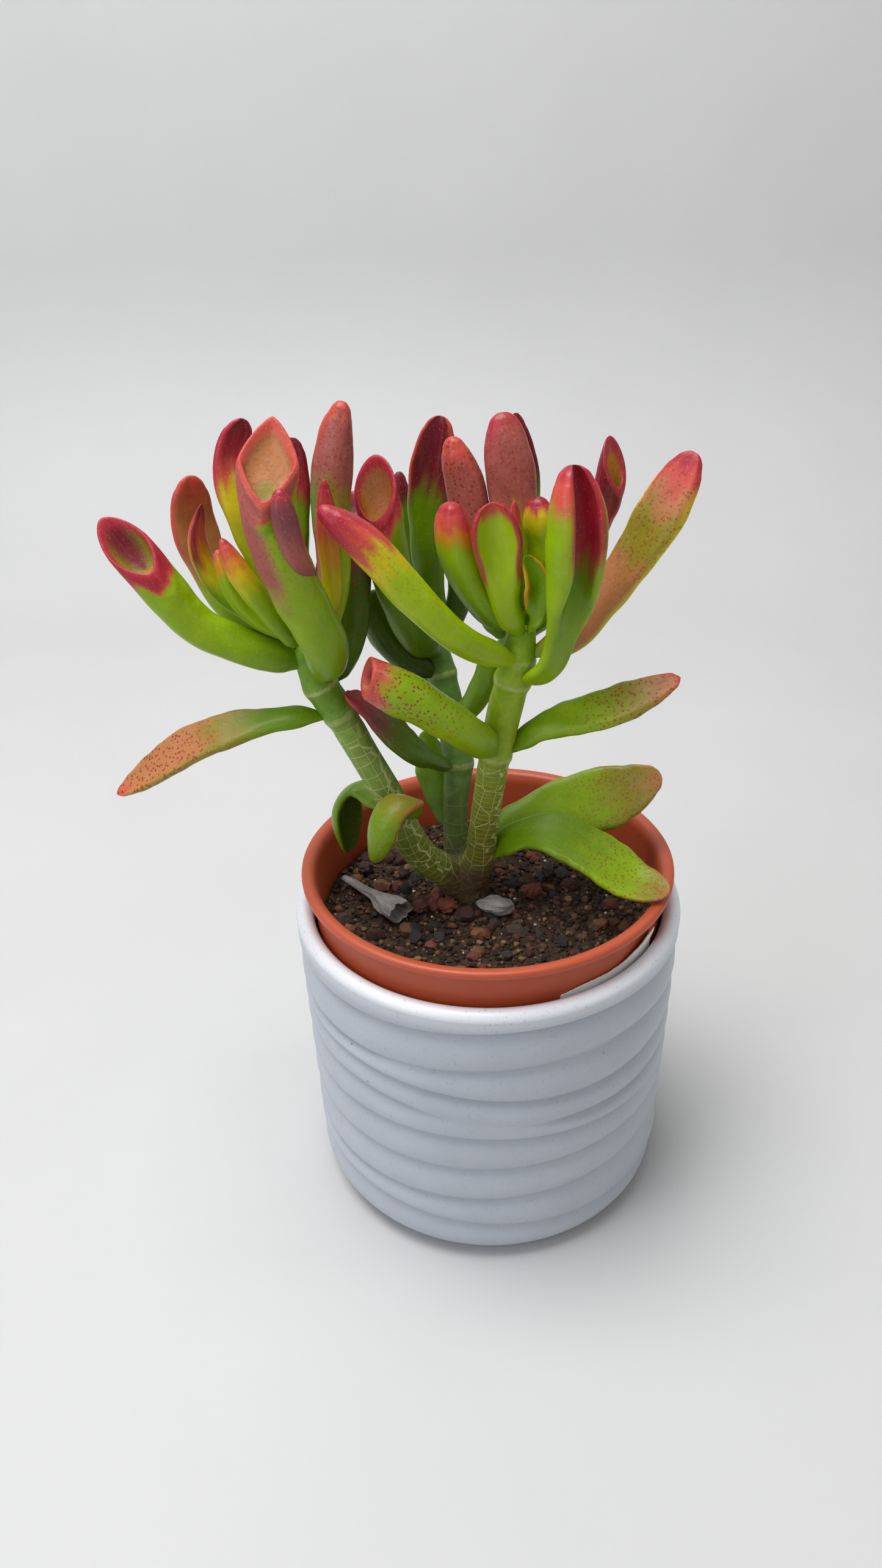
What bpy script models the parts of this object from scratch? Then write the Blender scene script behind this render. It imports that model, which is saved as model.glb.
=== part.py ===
"""A potted finger jade: a branching succulent in a thin nursery pot, standing in a ribbed ceramic pot.

World frame: metres, +Z up, origin at the centre of the ceramic pot's flat underside.
The front of the plant faces -Y. Lengths below are in millimetres and become metres in mm().
"""

import math
from collections import namedtuple

import bmesh
import bpy
from mathutils import Vector

# ------------------------------------------------------------------ driving sizes, millimetres
GAP = 0.3                        # air left between two pieces that touch

CERAMIC_HEIGHT = 108.0
CERAMIC_RADIUS = 63.2            # outside, over the crests of the ribs
CERAMIC_TAPER = 2.6              # how much less the radius is at the foot
CERAMIC_WALL = 6.0
CERAMIC_FLOOR = 6.0
CERAMIC_FOOT_ROUND = 12.0
CERAMIC_DRAFT = 1.0              # how much narrower the inside is at the floor
CERAMIC_FLOOR_ROUND = 5.0
RIB_DEPTH = 1.5
CREST_DEPTH = 0.16               # how far the shoulders of a rib stay below its crest

POT_CLEARANCE = 1.0              # between the nursery pot's wall and the ceramic pot's mouth
RIM_PROUD = 12.8                 # how far the nursery pot's rim stands above the ceramic pot
NURSERY_BAND = 18.0              # the wall is straight for this far below the lip
NURSERY_TAPER = 13.4             # how much less the radius is at the base
NURSERY_WALL = 1.2
NURSERY_STAND = 3.0              # the floor is this far above the ring it stands on
STAND_WIDTH = 2.0
LIP_WIDTH = 3.8
LIP_HEIGHT = 2.6
LIP_ROUND = 1.2
DRAIN_HOLES = 6
DRAIN_RADIUS = 4.0
DRAIN_TURN = 12.0                # degrees from the front to the first hole
DRAIN_INSET = 17.2               # from the edge of the base to the middle of each drain hole

LABEL_THICKNESS = 0.4
LABEL_ABOVE = 0.5                # how far its short end shows above the ceramic pot
LABEL_RISE = 6.0                 # how much higher the tear is at the long end
LABEL_TEAR = 0.6
LABEL_FROM, LABEL_TO = 22.0, 62.0    # degrees to the right of the front

SOIL_BELOW_RIM = 18.0
ROOT_DEPTH = 26.0
ROOT_TAPER = 2.2                 # how much thinner the root is at its end
TRUNK_RADIUS = 7.6
TRUNK_PLACE = (-7.0, 6.0)
STEM_WIDTH = 1.0                 # factor on every stem's radius
DRAWN_RIM_RADIUS = 60.0          # rim radius for which the stems and leaves below are given
DRAWN_RIM_HEIGHT = 18.0          # height of the rim among the heights given there

# ------------------------------------------------------------------ what follows from them
CERAMIC_INSIDE = CERAMIC_RADIUS - CERAMIC_WALL
NURSERY_FOOT = CERAMIC_FLOOR + GAP
NURSERY_FLOOR = NURSERY_FOOT + NURSERY_STAND + NURSERY_WALL
NURSERY_TOP = CERAMIC_HEIGHT + RIM_PROUD
UNDER_LIP = NURSERY_TOP - LIP_HEIGHT
BAND_FOOT = UNDER_LIP - NURSERY_BAND
NURSERY_WALL_TOP = CERAMIC_INSIDE - POT_CLEARANCE
NURSERY_BASE = NURSERY_WALL_TOP - NURSERY_TAPER
NURSERY_RIM = NURSERY_WALL_TOP + LIP_WIDTH
SOIL_TOP = NURSERY_TOP - SOIL_BELOW_RIM
PLANT_SCALE = NURSERY_RIM / DRAWN_RIM_RADIUS

AROUND = 40                      # sides of every turned piece
TRUNK_SIDES = 16
STEM_SIDES = 10
STEM_STEPS = 12
LEAF_STEPS = 48

# each groove wanders round the pot; height and sway are shares of the pot's height
Groove = namedtuple("Groove", "height sway turns phase")
GROOVES = [
    Groove(0.150, -0.039, 1, 0),
    Groove(0.262, 0.026, 1, 0),
    Groove(0.390, 0.018, 1, 0),
    Groove(0.501, 0.020, 2, 95),
    Groove(0.590, -0.027, 2, 5),
    Groove(0.681, -0.030, 2, 20),
    Groove(0.773, 0.022, 2, 25),
    Groove(0.914, 0.020, 2, 35),
]
CREST_SHARES = (0.3, 0.7)        # where the shoulders of a rib lie between its two grooves

Stone = namedtuple("Stone", "x y size")
STONES = [Stone(-13, -5, 5.6), Stone(-22, -6, 5.0), Stone(-42, 17, 5.4), Stone(15, 3, 5.8),
          Stone(21, 15, 5.2)]
STONE_HEIGHT = 0.75              # height over width

# shed leaves on the mix: x, y and radius of each ring
DRIED_LEAVES = {
    "dried_leaf_trumpet": [(-48, 10, 1.6), (-43, 5, 1.9), (-37, -1, 2.6), (-31, -8, 4.4),
                           (-28, -12, 4.2)],
    "dried_leaf_curled": [(-2.5, -4, 1.4), (0.5, -6.5, 2.8), (4.5, -7.5, 3.2), (7.5, -6, 1.6)],
}
DRIED_FLATNESS = 0.8

Leaf = namedtuple("Leaf", "name stem kind width thick face route")


def mm(x, y, z):
    """A place in millimetres as a vector in metres."""
    return Vector((x, y, z)) * 0.001


# ------------------------------------------------------------------ materials
def material(name, colour, roughness):
    made = bpy.data.materials.new(name)
    made.use_nodes = True
    shader = made.node_tree.nodes["Principled BSDF"]
    shader.inputs["Base Color"].default_value = (*colour, 1.0)
    shader.inputs["Roughness"].default_value = roughness
    made.diffuse_color = (*colour, 1.0)
    return made


def make_materials():
    return {
        "glaze": material("satin white glaze", (0.62, 0.66, 0.70), 0.35),
        "plastic": material("terracotta plastic", (0.50, 0.12, 0.05), 0.45),
        "paper": material("label paper", (0.85, 0.85, 0.82), 0.7),
        "soil": material("potting mix", (0.05, 0.03, 0.02), 0.95),
        "lava": material("lava rock", (0.16, 0.05, 0.035), 0.9),
        "bark": material("corky green bark", (0.22, 0.22, 0.07), 0.6),
        "leaf": material("succulent leaf", (0.17, 0.36, 0.02), 0.35),
        "dry": material("dried leaf", (0.25, 0.23, 0.21), 0.8),
    }


# ------------------------------------------------------------------ mesh helpers
def add_object(name, bm, finish, smooth=True):
    """Turn a bmesh into a named object with one material."""
    mesh = bpy.data.meshes.new(name)
    bmesh.ops.recalc_face_normals(bm, faces=bm.faces)
    bm.to_mesh(mesh)
    bm.free()
    mesh.materials.append(finish)
    if smooth:
        mesh.shade_smooth()
        mesh.set_sharp_from_angle(angle=math.radians(40))
    made = bpy.data.objects.new(name, mesh)
    bpy.context.collection.objects.link(made)
    return made


def circle(sides):
    """Angles of evenly spaced points round a circle."""
    return [math.tau * index / sides for index in range(sides)]


def loft(rings):
    """A closed skin through rings of points in millimetres, capped at both ends."""
    bm = bmesh.new()
    place = bm.verts.layers.int.new("place")
    verts = bmesh.ops.create_circle(bm, cap_ends=True, segments=len(rings[0]), radius=1.0)["verts"]
    for index, vert in enumerate(verts):
        vert[place] = index
        vert.co = mm(*rings[0][index])
    edges = list(bm.edges)
    for ring in rings[1:]:
        geometry = bmesh.ops.extrude_edge_only(bm, edges=edges)["geom"]
        edges = [item for item in geometry if isinstance(item, bmesh.types.BMEdge)]
        for vert in {vert for edge in edges for vert in edge.verts}:
            vert.co = mm(*ring[vert[place]])
    bmesh.ops.contextual_create(bm, geom=edges)
    return bm


def turned(radius, level, angle):
    """A point of a turned piece; angle 0 is the front and it grows to the right."""
    return (radius * math.sin(angle), -radius * math.cos(angle), level)


def turned_ring(radius, level):
    return [turned(radius, level, angle) for angle in circle(AROUND)]


def cut(target, bm, name):
    """Take a closed shape out of a piece."""
    mesh = bpy.data.meshes.new(name)
    bmesh.ops.recalc_face_normals(bm, faces=bm.faces)
    bm.to_mesh(mesh)
    bm.free()
    cutter = bpy.data.objects.new(name, mesh)
    bpy.context.collection.objects.link(cutter)
    cutter.hide_render = True
    cutter.display_type = "WIRE"
    boolean = target.modifiers.new(name, "BOOLEAN")
    boolean.operation = "DIFFERENCE"
    boolean.object = cutter


# ------------------------------------------------------------------ the ceramic pot
def groove_height(groove, angle):
    """Height of a groove at an angle round the pot."""
    wander = groove.sway * math.sin(groove.turns * angle + math.radians(groove.phase))
    return CERAMIC_HEIGHT * (groove.height + wander)


def ceramic_wall_radius(level):
    """Radius over the crests, with the foot rounded in."""
    radius = CERAMIC_RADIUS - CERAMIC_TAPER * (1.0 - level / CERAMIC_HEIGHT)
    if level < CERAMIC_FOOT_ROUND:
        drop = 1.0 - level / CERAMIC_FOOT_ROUND
        radius -= CERAMIC_FOOT_ROUND * (1.0 - math.sqrt(1.0 - drop * drop))
    return radius


def ceramic_outer_rings(rim_start):
    """Rings from the foot to the rim, three to a rib, each following its groove round the pot."""
    angles = circle(AROUND)
    foot_start = CERAMIC_FOOT_ROUND / 8
    lines = [[groove_height(groove, angle) for angle in angles] for groove in GROOVES]
    lines = [[foot_start] * AROUND, *lines, [rim_start] * AROUND]
    rings = [turned_ring(ceramic_wall_radius(0.0), 0.0)]
    for lower, upper in zip(lines, lines[1:]):
        valley = CREST_DEPTH if lower is lines[0] else RIB_DEPTH
        for share, depth in zip((0.0, *CREST_SHARES), (valley, CREST_DEPTH, CREST_DEPTH)):
            ring = []
            for angle, low, high in zip(angles, lower, upper):
                level = low + (high - low) * share
                ring.append(turned(ceramic_wall_radius(level) - depth, level, angle))
            rings.append(ring)
    return rings


def make_ceramic_pot(finish):
    half = CERAMIC_WALL / 2
    middle = CERAMIC_INSIDE + half
    rim = []
    for degrees in (20, 55, 90, 135, 180):
        turn = math.radians(degrees)
        rim.append((middle + half * math.cos(turn), CERAMIC_HEIGHT - half + half * math.sin(turn)))
    narrow = CERAMIC_INSIDE - CERAMIC_DRAFT
    inside = [(narrow, CERAMIC_FLOOR + CERAMIC_FLOOR_ROUND), (narrow - CERAMIC_FLOOR_ROUND, CERAMIC_FLOOR)]
    rings = ceramic_outer_rings(rim[0][1])
    rings += [turned_ring(radius, level) for radius, level in rim + inside]
    return add_object("ceramic_pot", loft(rings), finish)


# ------------------------------------------------------------------ the nursery pot
def nursery_outer_radius(level):
    """Outside of the wall at a height above the world's zero: tapered, with a straight band at the top."""
    share = min(1.0, (level - NURSERY_FOOT) / (BAND_FOOT - NURSERY_FOOT))
    return NURSERY_BASE + NURSERY_TAPER * share


def nursery_inner_radius(level):
    return nursery_outer_radius(level) - NURSERY_WALL


def make_nursery_pot(finish):
    stand_inside = NURSERY_BASE - STAND_WIDTH
    neck = UNDER_LIP - LIP_ROUND
    wall_end = UNDER_LIP - 2 * LIP_ROUND
    mouth = nursery_inner_radius(UNDER_LIP)
    outline = [(stand_inside, NURSERY_FOOT + NURSERY_STAND), (stand_inside, NURSERY_FOOT),
               (NURSERY_BASE, NURSERY_FOOT), (NURSERY_WALL_TOP, BAND_FOOT), (NURSERY_WALL_TOP, neck),
               (NURSERY_RIM - LIP_ROUND, UNDER_LIP), (NURSERY_RIM, UNDER_LIP + LIP_ROUND),
               (NURSERY_RIM, NURSERY_TOP - LIP_ROUND), (NURSERY_RIM - LIP_ROUND, NURSERY_TOP),
               (mouth + LIP_ROUND, NURSERY_TOP - LIP_ROUND), (mouth, wall_end), (mouth, BAND_FOOT),
               (nursery_inner_radius(NURSERY_FLOOR), NURSERY_FLOOR)]
    rings = [turned_ring(radius, level) for radius, level in outline]
    pot = add_object("nursery_pot", loft(rings), finish)
    reach = NURSERY_BASE - DRAIN_INSET
    for hole, angle in enumerate(circle(DRAIN_HOLES), 1):
        bm = bmesh.new()
        bmesh.ops.create_cone(bm, cap_ends=True, segments=12, radius1=DRAIN_RADIUS * 0.001,
                              radius2=DRAIN_RADIUS * 0.001, depth=4 * NURSERY_WALL * 0.001)
        spot = mm(*turned(reach, NURSERY_FLOOR - NURSERY_WALL / 2, angle + math.radians(DRAIN_TURN)))
        bmesh.ops.translate(bm, verts=bm.verts, vec=spot)
        cut(pot, bm, f"drain_cutter_{hole}")
    return pot


# ------------------------------------------------------------------ label, soil and stones
def make_label(finish):
    """A blank paper label standing in the gap between the two pots, torn along its top."""
    steps = 12
    bm = bmesh.new()
    rows = []
    for step in range(steps + 1):
        share = step / steps
        angle = math.radians(LABEL_FROM + (LABEL_TO - LABEL_FROM) * share)
        tear = CERAMIC_HEIGHT + LABEL_ABOVE + LABEL_RISE * share + LABEL_TEAR * math.sin(9.0 * share)
        corners = []
        for level, extra in ((BAND_FOOT, 0.0), (tear, 0.0), (tear, LABEL_THICKNESS), (BAND_FOOT, LABEL_THICKNESS)):
            reach = NURSERY_WALL_TOP + GAP + extra
            corners.append(bm.verts.new(mm(*turned(reach, level, angle))))
        rows.append(corners)
    for row, following in zip(rows, rows[1:]):
        for index in range(4):
            after = (index + 1) % 4
            bm.faces.new((row[index], row[after], following[after], following[index]))
    bm.faces.new(rows[0])
    bm.faces.new(reversed(rows[-1]))
    return add_object("label", bm, finish, smooth=False)


def trunk_ring(level, spare=0.0):
    """The trunk's outline at a height: thickest at the soil, thinner down at the root."""
    below = max(0.0, SOIL_TOP - level)
    radius = TRUNK_RADIUS - ROOT_TAPER * min(1.0, below / ROOT_DEPTH) + spare
    x, y = TRUNK_PLACE
    return [(x * PLANT_SCALE + radius * math.cos(angle), y * PLANT_SCALE + radius * math.sin(angle), level)
            for angle in circle(TRUNK_SIDES)]


def make_soil(finish):
    floor = NURSERY_FLOOR + GAP
    rings = [turned_ring(nursery_inner_radius(level) - GAP, level) for level in (floor, SOIL_TOP)]
    soil = add_object("soil", loft(rings), finish)
    levels = (SOIL_TOP + ROOT_DEPTH, SOIL_TOP, SOIL_TOP - ROOT_DEPTH - GAP)
    cut(soil, loft([trunk_ring(level, GAP) for level in levels]), "root_cutter")
    return soil


def make_stones(finish):
    """Lumps of lava rock lying on the mix, each a little differently squashed."""
    for number, stone in enumerate(STONES, 1):
        bm = bmesh.new()
        bmesh.ops.create_icosphere(bm, subdivisions=1, radius=stone.size / 2 * 0.001)
        bmesh.ops.scale(bm, verts=bm.verts, vec=(1.0 + 0.08 * (number % 3), 0.9, STONE_HEIGHT))
        lowest = min(vert.co.z for vert in bm.verts)
        spot = mm(stone.x * PLANT_SCALE, stone.y * PLANT_SCALE, SOIL_TOP + GAP)
        bmesh.ops.translate(bm, verts=bm.verts, vec=spot - Vector((0, 0, lowest)))
        add_object(f"lava_stone_{number}", bm, finish)


# ------------------------------------------------------------------ stems
# each point is x, y, height, radius
STEMS = {
    "stem_left": [(-15, -1, 14, 5.0), (-20, -4, 20, 5.2), (-25, -6, 30, 5.2), (-30, -6, 44, 4.8),
                  (-37, -7, 60, 4.6), (-43, -7, 73, 5.0), (-48, -8, 83, 5.2), (-52, -8, 95, 3.4)],
    "stem_right": [(-2, 0, 18, 5.2), (-1, -3, 30, 4.7), (1, -5, 46, 4.7), (3, -7, 60, 5.0),
                   (6, -8, 76, 5.2), (9, -9, 89, 5.2), (11, -9, 101, 3.4)],
    "stem_middle": [(-10, 11, 15, 4.2), (-10, 13, 30, 4.2), (-9, 15, 44, 5.0), (-11, 19, 58, 4.8),
                    (-14, 24, 73, 4.6), (-16, 26, 84, 3.2)],
}


def smooth_route(points, steps):
    """Points read from one smooth curve through the chosen ones, evenly spaced along it."""
    knots = [Vector(point) for point in points]
    padded = [knots[0] * 2 - knots[1], *knots, knots[-1] * 2 - knots[-2]]
    fine = []
    per_span = 12
    for a, b, c, d in zip(padded, padded[1:], padded[2:], padded[3:]):
        for tick in range(per_span):
            t = tick / per_span
            fine.append(0.5 * (2 * b + (c - a) * t + (2 * a - 5 * b + 4 * c - d) * t ** 2
                               + (3 * b - a - 3 * c + d) * t ** 3))
    fine.append(knots[-1])
    lengths = [0.0]
    for before, after in zip(fine, fine[1:]):
        lengths.append(lengths[-1] + (after.xyz - before.xyz).length)
    even = []
    index = 0
    for step in range(steps + 1):
        goal = lengths[-1] * step / steps
        while index < len(fine) - 2 and lengths[index + 1] < goal:
            index += 1
        share = (goal - lengths[index]) / (lengths[index + 1] - lengths[index])
        even.append(fine[index].lerp(fine[index + 1], min(1.0, share)))
    return even


def grown(points):
    """The drawn points of a stem or leaf, fitted to the rim of the pot they grow in."""
    placed = []
    for x, y, height, *radius in points:
        level = NURSERY_TOP + (height - DRAWN_RIM_HEIGHT) * PLANT_SCALE
        widths = [value * PLANT_SCALE for value in radius]
        placed.append((x * PLANT_SCALE, y * PLANT_SCALE, level, *widths))
    return placed


def tangents(route):
    pairs = zip([route[0], *route[:-1]], [*route[1:], route[-1]])
    return [(after.xyz - before.xyz).normalized() for before, after in pairs]


def stem_rings(name):
    route = smooth_route(grown(STEMS[name]), STEM_STEPS)
    rings = []
    for point, along in zip(route, tangents(route)):
        side = along.cross(Vector((0.0, 1.0, 0.0))).normalized()
        front = side.cross(along)
        radius = point.w * STEM_WIDTH
        rings.append([point.xyz + side * (radius * math.cos(angle)) + front * (radius * math.sin(angle))
                      for angle in circle(STEM_SIDES)])
    return rings


def make_stem(name, finish):
    return add_object(name, loft(stem_rings(name)), finish)


def make_trunk(finish):
    """The trunk ends just under the lowest point of the stems that stand on it."""
    stem_foot = min(point.z for name in STEMS for point in stem_rings(name)[0])
    levels = (SOIL_TOP - ROOT_DEPTH, SOIL_TOP, stem_foot - GAP)
    return add_object("trunk", loft([trunk_ring(level) for level in levels]), finish)


# ------------------------------------------------------------------ leaves
# face is the way the cupped upper side looks; route is x, y, height, from root to tip
LEAVES = [
    # --- the left head
    Leaf("leaf_left_trumpet", "stem_left", "trumpet", 12.0, 9.5, (3, -8, 4),
         [(-50, -8, 89), (-64, -11, 95), (-79, -13, 103), (-88, -14, 115), (-96, -14, 127)]),
    Leaf("leaf_left_front", "stem_left", "trumpet", 15.5, 11.0, (0, -9, 2),
         [(-48, -10, 85), (-44, -17, 98), (-50, -21, 116), (-55, -22, 136), (-54, -20, 153)]),
    Leaf("leaf_left_spoon", "stem_left", "spoon", 13.0, 6.0, (8, -4, 3),
         [(-53, -6, 93), (-66, 0, 97), (-77, 6, 108), (-83, 9, 125), (-82, 8, 140)]),
    Leaf("leaf_left_thin", "stem_left", "finger", 6.6, 5.6, (8, -4, 3),
         [(-54, -7.5, 96), (-66, -5, 103.5), (-75, -4, 112), (-79, -4, 124), (-77, -3, 135)]),
    Leaf("leaf_left_short", "stem_left", "finger", 7.4, 6.0, (5, 2, 5),
         [(-53, -13, 97), (-59, -16, 108), (-66, -16, 120), (-70, -15, 129)]),
    Leaf("leaf_left_fold", "stem_left", "spoon", 9.5, 6.5, (7, -7, 0),
         [(-53, -3, 97), (-60, -2, 113), (-66, -1, 131), (-68, 2, 146), (-64, 3, 156)]),
    Leaf("leaf_left_dark", "stem_left", "spoon", 9.0, 6.0, (0, -9, 0),
         [(-52, 1, 98), (-54, 7, 114), (-54, 11, 132), (-53, 12, 149)]),
    Leaf("leaf_left_tall", "stem_left", "finger", 9.6, 7.4, (-4, -8, 0),
         [(-47, -3, 94), (-43, 2, 112), (-43, 6, 132), (-41, 8, 147), (-38, 9, 159)]),
    Leaf("leaf_left_small", "stem_left", "finger", 6.0, 5.2, (0, 8, 0),
         [(-48, -8, 99), (-43, -5, 108), (-43, -4, 124), (-43, -3, 141)]),
    Leaf("leaf_left_back", "stem_left", "trumpet", 9.0, 7.0, (1, -9, 1),
         [(-45, -4, 82), (-40, 8, 90), (-38, 15, 107), (-39, 22, 126)]),
    Leaf("leaf_left_shade", "stem_left", "finger", 6.6, 5.5, (0, -9, 0),
         [(-48, -3, 86), (-47, 8, 94), (-47, 14, 104), (-48, 18, 114)]),
    Leaf("leaf_left_inner", "stem_left", "finger", 5.0, 4.4, (6, -4, 3),
         [(-54, -10, 98), (-63, -10.5, 103.5), (-69, -10, 111), (-73, -9, 124)]),
    Leaf("leaf_left_droop", "stem_left", "blade", 12.0, 4.6, (0, -5, 8),
         [(-44, -8, 73), (-60, -12, 74), (-84, -14, 68), (-112, -14, 50)]),
    Leaf("leaf_left_low_front", "stem_left", "curl", 11.0, 4.0, (2, 3, -8),
         [(-22, -9, 38), (-25, -16, 48), (-31, -20, 43), (-35, -19, 29)]),
    Leaf("leaf_left_low_back", "stem_left", "curl", 11.0, 4.0, (5, -4, -7),
         [(-34, -3, 38), (-40, 5, 41), (-46, 8, 32), (-46, 7, 15)]),
    # --- the right head
    Leaf("leaf_right_long", "stem_right", "finger", 9.4, 8.0, (2, 2, 8),
         [(9, -12, 91), (-6, -20, 101), (-18, -23, 114), (-30, -24, 129), (-42, -23, 139)]),
    Leaf("leaf_right_taco", "stem_right", "spoon", 12.0, 8.0, (7, -7, 1),
         [(10, -11, 84), (18, -18, 92), (22, -22, 110), (23, -23, 132), (22, -21, 148)]),
    Leaf("leaf_right_trumpet", "stem_right", "trumpet", 10.0, 7.6, (8, -6, 2),
         [(12, -6, 96), (19, -2, 106), (26, -1, 118), (32, 0, 131), (35, 0, 142)]),
    Leaf("leaf_right_channel", "stem_right", "spoon", 10.5, 6.0, (-5, -7, 5),
         [(13, -10, 93), (24, -11, 98), (33, -9, 109), (44, -8, 126), (55, -6, 147)]),
    Leaf("leaf_right_cup", "stem_right", "spoon", 10.5, 6.8, (0, -9, 1),
         [(10, -12, 99), (6, -14, 108), (4, -16, 122), (2, -18, 138)]),
    Leaf("leaf_right_blunt", "stem_right", "finger", 9.0, 7.4, (6, 4, 3),
         [(8, -9, 100), (0, -11, 107), (-7, -12, 121), (-9, -13, 137)]),
    Leaf("leaf_right_sliver", "stem_right", "finger", 4.6, 4.2, (0, 8, 2),
         [(10, -8, 103), (9, -8, 115), (8, -9, 125), (8, -9, 136)]),
    Leaf("leaf_right_slant", "stem_right", "finger", 8.0, 6.2, (5, 5, 3),
         [(12, -8, 100), (16, -7, 108), (16, -6, 120), (14, -5, 136)]),
    Leaf("leaf_right_bud", "stem_right", "curl", 6.4, 3.2, (0, -4, 8),
         [(12, -12, 100), (14, -15, 106), (14, -16, 115), (11, -15, 123)]),
    Leaf("leaf_right_tall", "stem_right", "finger", 13.0, 8.0, (0, 9, 0),
         [(10, -4, 96), (9, 3, 112), (8, 7, 134), (5, 10, 155)]),
    Leaf("leaf_right_dark", "stem_right", "spoon", 9.5, 5.5, (0, -9, 0),
         [(13, -3, 95), (12, 11, 112), (11, 17, 135), (9, 19, 153)]),
    Leaf("leaf_right_streaked", "stem_right", "finger", 11.0, 7.4, (4, 8, 0),
         [(5, -4, 95), (-1, 3, 110), (-4, 8, 130), (-9, 9, 149)]),
    Leaf("leaf_right_low_trumpet", "stem_right", "trumpet", 11.5, 8.6, (-7, -6, 1),
         [(3, -9, 61), (-7, -18, 73), (-18, -22, 83), (-26, -23, 88), (-32, -22, 91)]),
    Leaf("leaf_right_low_wavy", "stem_right", "blade", 11.5, 5.2, (0, -5, 8),
         [(4, -7, 58), (17, -9, 69), (37, -10, 76), (56, -8, 84)]),
    # --- the middle head, behind the other two
    Leaf("leaf_middle_trumpet", "stem_middle", "trumpet", 13.0, 10.0, (-3, -9, 3),
         [(-15, 22, 79), (-22, 17, 90), (-27, 13, 108), (-29, 12, 122), (-31, 13, 134)]),
    Leaf("leaf_middle_tall", "stem_middle", "spoon", 13.0, 7.5, (-3, -9, 0),
         [(-15, 26, 82), (-17, 28, 100), (-17, 28, 122), (-12, 27, 151)]),
    Leaf("leaf_middle_shade", "stem_middle", "finger", 9.0, 6.6, (0, -9, 0),
         [(-14, 28, 80), (-8, 32, 94), (-7, 33, 107), (-9, 32, 119)]),
    Leaf("leaf_middle_far", "stem_middle", "finger", 7.5, 6.0, (0, -9, 0),
         [(-18, 28, 80), (-24, 36, 96), (-26, 40, 114), (-26, 41, 132)]),
    Leaf("leaf_middle_dark", "stem_middle", "finger", 9.0, 6.6, (4, -8, 0),
         [(-14, 22, 72), (-25, 20, 79), (-32, 21, 90), (-34, 22, 101)]),
    Leaf("leaf_middle_grey", "stem_middle", "finger", 6.0, 4.8, (3, -8, 2),
         [(-15, 26, 68), (-26, 30, 73), (-34, 33, 80), (-38, 34, 88)]),
    Leaf("leaf_middle_right", "stem_middle", "finger", 8.4, 6.4, (-4, -6, 4),
         [(-10, 18, 58), (-4, 12, 67), (1, 9, 78), (3, 8, 89)]),
    Leaf("leaf_middle_right_back", "stem_middle", "finger", 6.4, 5.2, (-4, -6, 4),
         [(-10, 21, 57), (-2, 25, 65), (5, 26, 76), (8, 26, 86)]),
    Leaf("leaf_middle_low_purple", "stem_middle", "blade", 10.0, 5.0, (3, -4, 7),
         [(-10, 14, 44), (-16, 4, 51), (-24, -2, 60), (-33, -6, 73), (-40, -15, 83)]),
    Leaf("leaf_middle_low_back", "stem_middle", "blade", 11.0, 4.6, (3, -8, 2),
         [(-11, 13, 17), (-15, 18, 28), (-18, 23, 40), (-20, 27, 50)]),
    # --- the lowest pair on the right
    Leaf("leaf_low_broad", "stem_right", "blade", 18.5, 5.0, (-1, -7, 7),
         [(1, 4, 21), (13, 9, 27), (29, 11, 30), (44, 11, 35), (56, 10, 42)]),
    Leaf("leaf_low_arching", "stem_right", "blade", 14.5, 4.6, (2, -4, 9),
         [(0, -2, 18), (8, -4, 27), (19, -7, 31), (33, -13, 27), (45, -20, 21), (55, -25, 21)]),
]

# how the width changes from the root to the tip of each kind of leaf, as (share of length, share of width)
OUTLINES = {
    "finger": [(0.0, 0.55), (0.3, 0.8), (0.6, 0.95), (0.8, 1.0), (0.92, 0.75), (1.0, 0.25)],
    "spoon": [(0.0, 0.5), (0.25, 0.62), (0.5, 0.8), (0.75, 1.0), (0.9, 0.8), (1.0, 0.25)],
    "trumpet": [(0.0, 0.62), (0.25, 0.82), (0.5, 0.88), (0.75, 0.95), (1.0, 1.0)],
    "blade": [(0.0, 0.45), (0.2, 0.62), (0.45, 0.95), (0.7, 1.0), (0.9, 0.8), (1.0, 0.35)],
    "curl": [(0.0, 0.5), (0.3, 0.85), (0.6, 1.0), (0.85, 0.8), (1.0, 0.3)],
}
LEAF_SIDES = {"finger": 8, "spoon": 8, "trumpet": 10, "blade": 8, "curl": 8}
MOUTH_SLANT = 1.6                # how far a trumpet's mouth leans back, per unit of its half thickness
MOUTH_SIZES = (0.75, 0.45)       # the cup's edge and floor, as shares of the leaf's width
CUP_DEPTH = 5.0


def distance_to_stem(point, name):
    """Free distance from a point to a stem's skin."""
    route = smooth_route(grown(STEMS[name]), 2 * STEM_STEPS)
    return min((point - item.xyz).length - item.w * STEM_WIDTH for item in route)


def leaf_route(leaf):
    """The leaf's centre line, from where it clears the stem to its tip."""
    fine = smooth_route(grown(leaf.route), LEAF_STEPS)
    root_share = OUTLINES[leaf.kind][0][1]
    clear = GAP + root_share * leaf.width * PLANT_SCALE * 0.4
    start = next(i for i, point in enumerate(fine) if distance_to_stem(point, leaf.stem) >= clear)
    knots = fine[start:]
    return smooth_route(knots[::4] + [knots[-1]], LEAF_STEPS)


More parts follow.
